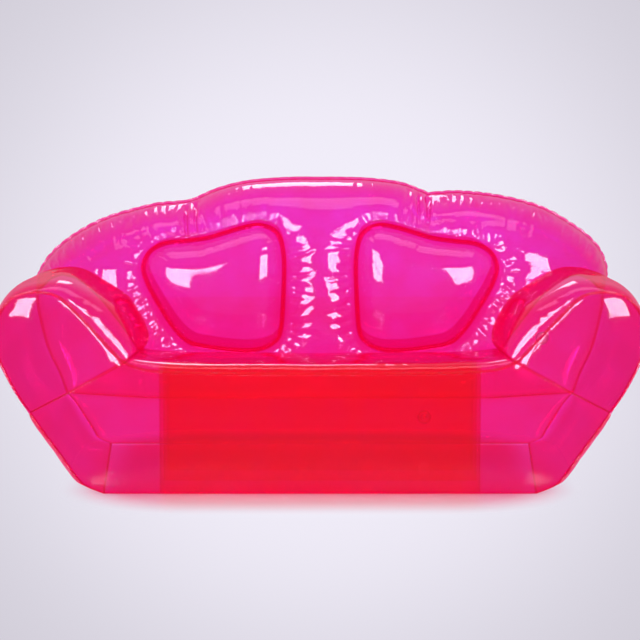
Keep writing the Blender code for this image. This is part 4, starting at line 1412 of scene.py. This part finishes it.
@dataclass
class Backrest(Builder):
    """The backrest: its lobed front with two raised pillows, its rear and the sleeves between them."""

    rear_bulge: float = 0.060
    rear_rise: float = 0.120
    valve: Spot = (0.640, 0.300)
    groove_rise: float = 0.090
    groove_extra: float = 0.010
    lean_back: float = 0.035
    lean_top: float = 0.66
    lean_height: float = 0.34
    crown: float = 0.098
    crown_rise: float = 0.110
    spacing: float = 0.0062

    def build(self) -> None:
        """Builds the backrest."""
        self.front()
        self.pillows()
        self.rear()
        self.sleeves()
        sheet = RuledSheet(self.lines.crease, self.lines.rear_line, 16, one_way(Z_WAY), unevenness=0.002,
                           seed=59)
        self.film("back_diaphragm", sheet, Vinyl.SLEEVE)

    def front(self) -> None:
        """The front of the backrest, with a hole for each pillow and a groove round the hole."""
        lines = self.lines
        right = lines.arm_end[1:][::-1]
        loop = np.vstack((lines.arch(), across(right), lines.crease[1:-1], right))
        rings = [lines.pillow[side] for side in SIDE_NAMES]
        flats = [flat_of(ring) for ring in rings]

        def groove(places: np.ndarray) -> np.ndarray:
            """Y of the backrest's front.

            Args:
                places: flat places.

            Returns:
                Y at each place.
            """
            away = np.min([weld_distance(places, flat, True) for flat in flats], axis=0)
            edge = swell(weld_distance(places, flat_of(loop), True), self.groove_rise)
            full = swell(away, self.groove_rise)
            lower = np.clip((self.lean_top - places[:, 1]) / self.lean_height, 0, 1)
            lean = self.lean_back * lower * swell(away, self.groove_rise / 2)
            dip = lines.sizes.groove * (1 - full) - self.groove_extra * full - lean
            return lines.back_depth(places) + dip * edge

        sheet = SpreadSheet((loop, *rings), groove, -1, (0.0003, 0.0012, 0.0027, 0.0048, 0.0075, 0.0105),
                            self.spacing, 0.085, creases=self.back_creases(flats), seed=20)
        self.film("backrest_panel", sheet, fill=0.9)

    def back_creases(self, flats: Sequence[np.ndarray]) -> list[Puckers | Fold]:
        """Puckers round the pillows and along the seams, and the folds under the two notches.

        Args:
            flats: the weld of each pillow as seen from the front.

        Returns:
            The puckers and folds of the backrest's front.
        """
        lines = self.lines
        creases: list[Puckers | Fold] = []
        for index, flat in enumerate(flats):
            creases += [Puckers(flat, 91 + index, 24, 9.5, 64, 5.4, 0.08, 14, closed=True),
                        Puckers(flat, 95 + index, 45, 2.2, 30, 3.4, 0.2, closed=True)]
        for turn, seed in ((RIGHT, 101), (LEFT, 104)):
            lobe, crown = lines.back_lobe[turn] * (turn, 1), lines.back_crown[turn] * (turn, 1)
            creases += [
                Puckers(lobe, seed, 26, 8.5, 55, 4.6, 0.1,
                        where=((0, 0.9), (0.6, 0.8), (0.9, 1.2), (1, 1))),
                Puckers(lobe, seed + 6, 24, 5.6, 40, 4.4, 0.15, 50, ((0, 0.2), (0.5, 1), (1, 1))),
                Puckers(crown, seed + 1, 34, 3.0, 40, 5, where=((0, 1.4), (0.3, 0.5), (1, 0.25))),
                Puckers(flat_of(lines.arm_end) * (turn, 1), seed + 2, 28, 4.0, 55, 4.8)]
            for aside, depth in ((0.0, 0.022), (-0.027, 0.016)):
                creases.append(Fold((lines.notch[turn] + (aside, 0.0)) * (turn, 1),
                                    ((-0.003 * turn, -0.045), (-0.012 * turn, -0.095)), depth, 0.0042, 0.4))
        creases.append(Puckers(flat_of(lines.crease), 109, 26, 4.0, 50, 4.5))
        return creases

    def pillows(self) -> None:
        """The two raised pillows, gathered all round."""
        lines = self.lines
        for side, word in SIDE_NAMES.items():
            flat = flat_of(lines.pillow[side])

            def crown(places: np.ndarray, flat: np.ndarray = flat) -> np.ndarray:
                """Y of the pillow at flat places."""
                share = swell(weld_distance(places, flat, True), self.crown_rise)
                return lines.back_depth(places) + lines.sizes.groove - self.crown * share

            creases = [Puckers(flat, 111 + side, 24, 2.6, 26, 3.4, 0.15, closed=True),
                       Puckers(flat, 114 + side, 85, 2.6, 60, 7.5, 0.3, closed=True)]
            sheet = SpreadSheet((lines.pillow[side],), crown, -1,
                                (0.0004, 0.0015, 0.0034, 0.006, 0.0094, 0.0135), self.spacing,
                                creases=creases, unevenness=0.0016, wave=0.09, seed=24 + side)
            self.film("pillow_panel_" + word, sheet, fill=0.95, name="pillow_" + word)

    def rear_loop(self) -> np.ndarray:
        """The weld round the broad rear sheet."""
        return np.vstack((self.lines.arch(self.lines.rear_outer), self.lines.rear_weld[1:-1]))

    def rear(self) -> None:
        """The broad rear sheet."""
        lines = self.lines
        creases: list[Puckers | Fold] = []
        for turn, seed in ((RIGHT, 121), (LEFT, 124)):
            creases += [
                Puckers(lines.back_lobe[turn] * (turn, 1), seed, 31, 5.5, 55, 5.5, 0.12),
                Puckers(lines.back_crown[turn] * (turn, 1), seed + 1, 34, 3.0, 45, 5.5,
                        where=((0, 1.4), (0.3, 0.6), (1, 0.4))),
                Fold(lines.notch[turn] * (turn, 1), ((-0.015 * turn, -0.060), (-0.045 * turn, -0.140)),
                     0.012, 0.009, 0.1)]
        creases.append(Puckers(flat_of(lines.rear_weld), 127, 40, 2.6, 50, 6))
        self.upright("rear_panel", self.rear_loop(), self.rear_bulge, self.rear_rise, 0.0105, creases, 27,
                     self.valve)

    def sleeves(self) -> None:
        """The sleeve behind each pillow, which holds its groove back against the rear sheet."""
        lines = self.lines
        loop = flat_of(self.rear_loop())
        for side, word in SIDE_NAMES.items():
            flat = flat_of(lines.pillow[side])
            depth = lines.rear_y + self.rear_bulge * swell(weld_distance(flat, loop, True), self.rear_rise)
            near, far = (np.vstack((path, path[:1])) for path in (
                lines.pillow[side] + Y_WAY * 1.5 * MM, at_depth(flat, depth - 3 * MM)))
            sheet = RuledSheet(near, far, 14, round_line(near.mean(axis=0)), unevenness=0.0, seed=57 + side)
            self.film("pillow_web_" + word, sheet, Vinyl.SLEEVE)


@dataclass
class Welds(Builder):
    """The two outer seams with their welded edge, and the bands along every crease."""

    fin_width: float = 0.0075
    fin_thickness: float = 0.0012
    fin_overlap: float = 0.001
    band_width: float = 0.005
    ring_width: float = 0.013
    arm_lean: float = 0.4
    ruffle: float = 0.0006
    ruffle_length: float = 0.046
    ruffle_turn: float = 0.22
    run_steps: int = 60

    def build(self) -> None:
        """Builds every weld."""
        lines, size = self.lines, self.lines.sizes
        self.fin("front_seam", lines.front_loop, -1)
        self.fin("rear_seam", lines.arch(lines.rear_bottom, lines.rear_side, lines.rear_outer)[:-1], 1)
        neck = lines.on_front(lines.front_neck)
        side_run = spaced(np.array((neck[-1], lines.corner(size.rear_neck, lines.rear_y))),
                          self.run_steps)
        base_run = spaced(np.array((lines.corner(size.front_base, lines.front_y),
                                    lines.corner(size.rear_base, lines.rear_y))), self.run_steps)
        arm_foot = spaced(np.array((neck[0], lines.arm_end[-1])), self.run_steps)
        arm_run = joined(arm_foot, lines.arm_end[::-1])
        for side, word in SIDE_NAMES.items():
            outwards = X_WAY * side
            turn = (side, 1, 1)
            self.line("neck_weld_" + word, neck * turn, -Y_WAY)
            self.line("side_weld_" + word, side_run * turn, outwards)
            self.line("base_weld_" + word, base_run * turn, outwards)
            self.line("arm_weld_" + word, arm_run * turn, Z_WAY - Y_WAY - outwards * self.arm_lean)
            ring = lines.pillow[side]
            ways = at_depth(unit(inward(flat_of(ring), 1)), 0.0)
            self.band("pillow_weld_" + word, ring + Y_WAY * MM, ways, True, self.ring_width,
                      vinyl=Vinyl.RING)
        self.line("seat_back_weld", lines.crease, Z_WAY - Y_WAY)
        self.line("rear_weld", lines.rear_weld, Y_WAY)

    def line(self, node: str, path: np.ndarray, way: np.ndarray) -> None:
        """A narrow band along an open crease.

        Args:
            node: the CAD node that it stands for.
            path: the crease.
            way: roughly where the band's edge points.
        """
        along = unit(np.gradient(path, axis=0))
        ways = unit(way - (way * along).sum(axis=1)[:, None] * along)
        self.band(node, path, ways, False, self.band_width)

    def fin(self, node: str, loop: np.ndarray, way: int) -> None:
        """The welded edge round the front or the rear, slightly ruffled; along the floor it lies flat.

        Args:
            node: the CAD node that it stands for.
            loop: the seam.
            way: -1 for the front, 1 for the rear.
        """
        outward = at_depth(-unit(inward(flat_of(loop), 1)), 0.0)
        down = np.clip(-outward[:, 2:3], 0, 1)
        out = unit(outward * (1 - down) + Y_WAY * way * down)
        reach = reach_along(loop)
        turns = round(reach[-1] / self.ruffle_length)
        wave = Y_WAY * (np.sin(reach / reach[-1] * turns * math.tau) * (1 - down[:, 0]))[:, None]
        middle = loop + out * (self.fin_width / 2 - self.fin_overlap) + wave * self.ruffle
        self.band(node, middle, unit(out + wave * self.ruffle_turn), True, self.fin_width, self.fin_thickness,
                  ending="_edge")


@dataclass
class AirValve:
    """One air valve at the back: flange, push-in stem, plug on its strap and inner check flap.

    Sizes are in metres along Y from the flange's middle, and as radii round it. sharp is the angle in
    radians from which an edge is rounded.
    """

    word: str
    wardrobe: Wardrobe
    sides: int = 48
    sharp: float = 0.7
    flange_radius: float = 0.019
    flange_half: float = 0.0006
    rib_height: float = 0.00025
    stem_radius: float = 0.0063
    bore: float = 0.0036
    rim_radius: float = 0.0085
    rim_top: float = -0.0009
    rim_low: float = -0.0033
    stem_length: float = 0.016
    ear_reach: float = 0.0096
    ear_low: float = 0.0129
    ear_half: float = 0.0015
    plug_depth: float = 0.005
    plug_taper: float = 0.0011
    head_radius: float = 0.006
    head_thickness: float = 0.0016
    strap_half: float = 0.0014
    strap_thickness: float = 0.0009
    flap_radius: float = 0.005
    flap_thickness: float = 0.0005
    flap_reach: float = 0.0066
    gap: float = 0.0003
    ribs: int = 4
    first_rib: float = 0.0020
    rib_spacing: float = 0.0022

    def build(self) -> None:
        """Builds the valve's four pieces where the CAD has them."""
        self.flange()
        self.stem()
        self.plug()
        self.flap()

    def round_off(self, bm: bmesh.types.BMesh, edges: Sequence, offset: float) -> None:
        """Rounds some edges, as a mould leaves them."""
        bmesh.ops.bevel(bm, geom=edges, offset=offset, affect="EDGES", segments=2, profile=0.5, material=-1)

    def piece(self, part: str, body: str, profile: Sequence, soft: float = 0.0, block: tuple = ()) -> None:
        """Makes one piece of the valve, turned round the Y axis, and dresses it.

        Args:
            part: its name.
            body: the body that it rides on.
            profile: its closed outline, as radius and Y.
            soft: how far its sharp edges are rounded.
            block: the lowest and highest corner and the rounding of a block that sticks out of it.
        """
        bm = bmesh.new()
        verts = [bm.verts.new((radius, y, 0)) for radius, y in profile]
        for start, end in zip(verts, verts[1:] + verts[:1]):
            if start.co.x > 0 or end.co.x > 0:
                bm.edges.new((start, end))
        bmesh.ops.spin(bm, geom=bm.verts[:] + bm.edges[:], cent=(0, 0, 0), axis=(0, 1, 0),
                       angle=math.tau, steps=self.sides, use_merge=True)
        bmesh.ops.remove_doubles(bm, verts=bm.verts, dist=0.01 * MM)
        bmesh.ops.recalc_face_normals(bm, faces=bm.faces)
        if soft:
            inner = [edge for edge in bm.edges if len(edge.link_faces) == 2]
            self.round_off(bm, [edge for edge in inner if edge.calc_face_angle() > self.sharp], soft)
        if block:
            low, high, rounding = Vector(block[0]), Vector(block[1]), block[2]
            place = Matrix.Translation((low + high) / 2) @ Matrix.Diagonal((*(high - low), 1))
            corners = bmesh.ops.create_cube(bm, size=1, matrix=place)["verts"]
            self.round_off(bm, [edge for edge in bm.edges if edge.verts[0] in corners], rounding)
        node = f"{self.word}_valve_{part}"
        low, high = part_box(self.word + "_valve_flange")
        bmesh.ops.translate(bm, vec=(low + high) / 2, verts=bm.verts)
        made = new_piece(f"{self.word}_{part}_moulding", bm)
        self.wardrobe.dress(made, Vinyl.MOULDED, node, body)

    def flange(self) -> None:
        """The round disc welded into the rear sheet, with its ring of weld ribs."""
        inner = self.stem_radius + self.gap
        half = self.flange_half
        profile = [(inner, -half), (self.flange_radius, -half), (self.flange_radius, half)]
        for step in range(self.ribs):
            middle = self.flange_radius - self.first_rib - self.rib_spacing * step
            profile += [(middle + aside * MM, half + self.rib_height * top)
                        for aside, top in ((0.5, 0), (0.2, 1), (-0.2, 1), (-0.5, 0))]
        self.piece("flange", "film", profile + [(inner, half)])

    def stem(self) -> None:
        """The short tube that pushes in through the flange, with its stop rim and the strap's ear."""
        profile = [(self.bore, self.rim_low), (self.rim_radius, self.rim_low),
                   (self.rim_radius, self.rim_top), (self.stem_radius, self.rim_top),
                   (self.stem_radius, self.stem_length), (self.bore, self.stem_length)]
        ear = (((self.stem_radius + self.bore) / 2, self.ear_low, -self.ear_half),
               (self.ear_reach, self.stem_length - self.gap, self.ear_half), 0.2 * MM)
        self.piece("stem", self.word + "_stem", profile, 0.25 * MM, ear)

    def plug(self) -> None:
        """The tapered plug with its head, finger tab and strap."""
        top = self.bore - self.gap
        low = self.stem_length + self.gap
        high = low + self.head_thickness
        tip = self.stem_length - self.plug_depth
        profile = [(0, tip), (top - self.plug_taper, tip), (top, self.stem_length), (top, low),
                   (self.head_radius, low), (self.head_radius, high), (0, high)]
        strap = ((top, low, -self.strap_half),
                 (self.ear_reach, low + self.strap_thickness, self.strap_half), 0.2 * MM)
        self.piece("plug", self.word + "_plug", profile, 0.2 * MM, strap)

    def flap(self) -> None:
        """The thin round check flap under the stem, with its tab."""
        top = self.rim_low - self.gap
        low = top - self.flap_thickness
        profile = [(0, low), (self.flap_radius, low), (self.flap_radius, top), (0, top)]
        tab = ((self.bore, low, -self.ear_half), (self.flap_reach, top, self.ear_half), 0.1 * MM)
        self.piece("flap", self.word + "_flap", profile, block=tab)


@dataclass
class Studio:
    """A pale floor, a backdrop with a painted pool of light, soft lamps and the camera at the photo's view.
    """

    camera_place: tuple[float, float, float] = (0.0, -6.71, 1.205)
    camera_tilt: float = 83.2
    lens: float = 140.6
    target: tuple[float, float, float] = (0.0, 0.0, 0.35)
    floor_half: float = 30.0
    paper: str = "#F2EEF9"
    paper_roughness: float = 0.16
    paper_gloss: float = 0.50
    paper_core: tuple[float, float, float] = (0.32, 0.30, 0.0)
    paper_fade: tuple[float, float] = (0.18, 0.36)
    air: str = "#F1EDF9"
    # The backdrop's painted pool of light: the first colour in its middle, the second, darker one all round.
    air_painted_dim: str = "#D2CED9"
    fill: str = "#FFFFFF"
    fill_strength: float = 0.50
    pool_core: float = 0.06
    pool_edge: float = 0.20
    pool_drop: float = 0.12
    side_place: tuple[float, float, float] = (1.9, -3.0, 2.0)

    def build(self) -> None:
        """Builds the studio."""
        self.camera()
        self.floor()
        self.world()
        for side, word in SIDE_NAMES.items():
            place = np.array(self.side_place) * (side, 1, 1)
            self.lamp(word + " softbox", place, (1.2, 1.5), 22.0)
            self.card(word + "_card", place, (1.5, 2.1), 46.0)
        self.lamp("top softbox", (0.0, 0.2, 3.2), (3.0, 1.2), 40.0)
        self.card("top_card", (-0.3, 4.4, 3.5), (1.2, 1.1), 8.0)

    def camera(self) -> None:
        """The camera where the photo was taken from."""
        data = bpy.data.cameras.new("camera")
        data.lens = self.lens
        made = placed("camera", data)
        made.location = self.camera_place
        made.rotation_euler = (math.radians(self.camera_tilt), 0, 0)
        bpy.context.scene.camera = made

    def step(self, tree: bpy.types.NodeTree, place: bpy.types.Node, start: float,
             end: float) -> bpy.types.Node:
        """A soft step from 0 to 1 between two lengths of a place's vector.

        Args:
            tree: the node tree.
            place: the place.
            start: the length up to which it is 0.
            end: the length from which it is 1.

        Returns:
            The node that gives the step.
        """
        length = add_node(tree, "VectorMath", {0: place}, operation="LENGTH").outputs["Value"]
        return add_node(tree, "MapRange", {"Value": length, "From Min": start, "From Max": end},
                        interpolation_type="SMOOTHSTEP")

    def glow(self, tree: bpy.types.NodeTree, place: bpy.types.Node) -> bpy.types.Node:
        """The backdrop's colour with a painted pool of light: brightest in the middle and darker all round,
        as light falls off.

        Args:
            tree: the node tree.
            place: where on the backdrop a ray lands, from the middle of the pool, in X and Z.

        Returns:
            The node that gives the colour.
        """
        upright = add_node(tree, "VectorMath", {0: place, 1: (1.0, 0.0, 1.0)}, operation="MULTIPLY")
        ramp = add_node(tree, "ValToRGB", {"Fac": self.step(tree, upright, self.pool_core, self.pool_edge)})
        for element, code in zip(ramp.color_ramp.elements, (self.air, self.air_painted_dim)):
            element.color = srgb(code)
        return ramp

    def floor(self) -> None:
        """The studio floor: satin paper that catches the sofa's shadow, and further off a glowing backdrop
        with a painted pool of light.
        """
        bm = bmesh.new()
        bmesh.ops.create_grid(bm, x_segments=8, y_segments=8, size=self.floor_half)
        made = new_piece("studio_floor", bm)
        material, tree = new_material("satin studio paper")
        spot = add_node(tree, "TexCoord").outputs["Object"]
        beyond = add_node(tree, "VectorMath", {0: spot}, operation="ABSOLUTE")
        beyond = add_node(tree, "VectorMath", {0: beyond, 1: self.paper_core}, operation="SUBTRACT")
        beyond = add_node(tree, "VectorMath", {0: beyond, 1: (0.0, 0.0, 0.0)}, operation="MAXIMUM")
        far = self.step(tree, beyond, *self.paper_fade)
        matt = add_node(tree, "BsdfDiffuse", {"Color": srgb(self.paper)})
        sheen = add_node(tree, "BsdfGlossy", {"Color": srgb(self.paper), "Roughness": self.paper_roughness})
        paper = add_node(tree, "MixShader", {0: self.paper_gloss, 1: matt, 2: sheen})

        parts = add_node(tree, "SeparateXYZ", {0: spot})
        off = add_node(tree, "Math", {0: parts.outputs["Y"], 1: -self.camera_place[1]}, operation="ADD")
        off = add_node(tree, "Math", {0: off}, operation="ABSOLUTE")
        off = add_node(tree, "Math", {0: off, 1: 1.0}, operation="MAXIMUM")
        aside = add_node(tree, "Math", {0: parts.outputs["X"], 1: off}, operation="DIVIDE")
        high = add_node(tree, "Math", {0: -self.camera_place[2], 1: off}, operation="DIVIDE")
        high = add_node(tree, "Math", {0: high, 1: self.pool_drop}, operation="ADD")
        place = add_node(tree, "CombineXYZ", {"X": aside, "Z": high})
        # Further off, the floor glows with the backdrop's painted pool of light.
        air = add_node(tree, "Emission", {"Color": self.glow(tree, place), "Strength": 1.0})
        mixed = add_node(tree, "MixShader", {0: far, 1: paper, 2: air})
        add_node(tree, "OutputMaterial", {"Surface": mixed})
        made.data.materials.append(material)

    def world(self) -> None:
        """Pale air with a painted pool of light for what is seen, straight, through the film or in its gloss,
        and a softer fill.
        """
        world = bpy.data.worlds.new("studio air")
        bpy.context.scene.world = world
        world.use_nodes = True
        tree = world.node_tree
        tree.nodes.clear()
        path = add_node(tree, "LightPath")
        way = add_node(tree, "TexCoord").outputs["Generated"]
        way = add_node(tree, "VectorMath", {0: way, 1: (0.0, 0.0, self.pool_drop)}, operation="ADD")
        seen = path.outputs["Is Camera Ray"]
        for kind in ("Is Transmission Ray", "Is Glossy Ray"):
            seen = add_node(tree, "Math", {0: seen, 1: path.outputs[kind]}, operation="MAXIMUM")
        # What is seen straight, through the film or in its gloss shows the painted pool of light.
        air = add_node(tree, "Background", {"Color": self.glow(tree, way), "Strength": 1.0})
        fill = add_node(tree, "Background", {"Color": srgb(self.fill), "Strength": self.fill_strength})
        mixed = add_node(tree, "MixShader", {0: seen, 1: fill, 2: air})
        add_node(tree, "OutputWorld", {"Surface": mixed})

    def aim(self, place: Sequence) -> Matrix:
        """The turn that faces a lamp or card at a place towards the sofa."""
        return (Vector(self.target) - Vector(place)).to_track_quat("-Z", "Y").to_matrix()

    def lamp(self, name: str, place: Sequence, size: Sequence, power: float) -> None:
        """One softbox that looks at the sofa.

        Args:
            name: what it is.
            place: where it stands.
            size: its width and height.
            power: its power in watts.
        """
        data = bpy.data.lights.new(name, "AREA")
        data.shape = "RECTANGLE"
        data.size, data.size_y = size
        data.energy = power
        made = placed(name, data)
        made.location = place
        made.rotation_euler = self.aim(place).to_euler()

    def card(self, name: str, place: Sequence, size: Sequence, strength: float) -> None:
        """One bright card that only the gloss of the film shows, as the face of a softbox.

        Args:
            name: what it is.
            place: where it stands.
            size: its width and height.
            strength: how bright it is.
        """
        bm = bmesh.new()
        matrix = Matrix.Translation(place) @ self.aim(place).to_4x4() @ Matrix.Diagonal((*size, 1, 1))
        bmesh.ops.create_grid(bm, x_segments=1, y_segments=1, size=0.5, matrix=matrix)
        made = new_piece(name, bm)
        material, tree = new_material("softbox cloth")
        glow = add_node(tree, "Emission", {"Color": srgb("#FFFFFF"), "Strength": strength})
        add_node(tree, "OutputMaterial", {"Surface": glow})
        made.data.materials.append(material)
        made.visible_camera = False
        made.visible_diffuse = False
        made.visible_transmission = False
        made.visible_shadow = False


def main() -> None:
    """Builds every sub-assembly in order and reports each one."""
    logging.basicConfig(level=logging.INFO, format="%(name)s: %(message)s")
    scene = bpy.context.scene
    scene.view_settings.view_transform = "Standard"
    scene.cycles.transparent_max_bounces = 48
    Studio().build()
    lines = WeldLines()
    wardrobe = Wardrobe()
    for assembly in (Base, Arms, Backrest, Welds):
        assembly(lines, wardrobe).build()
        LOG.info("%s done", assembly.__name__)
    for word in ("back", "seat"):
        AirValve(word, wardrobe).build()
        LOG.info("%s valve done", word)


if __name__ == "__main__":
    main()
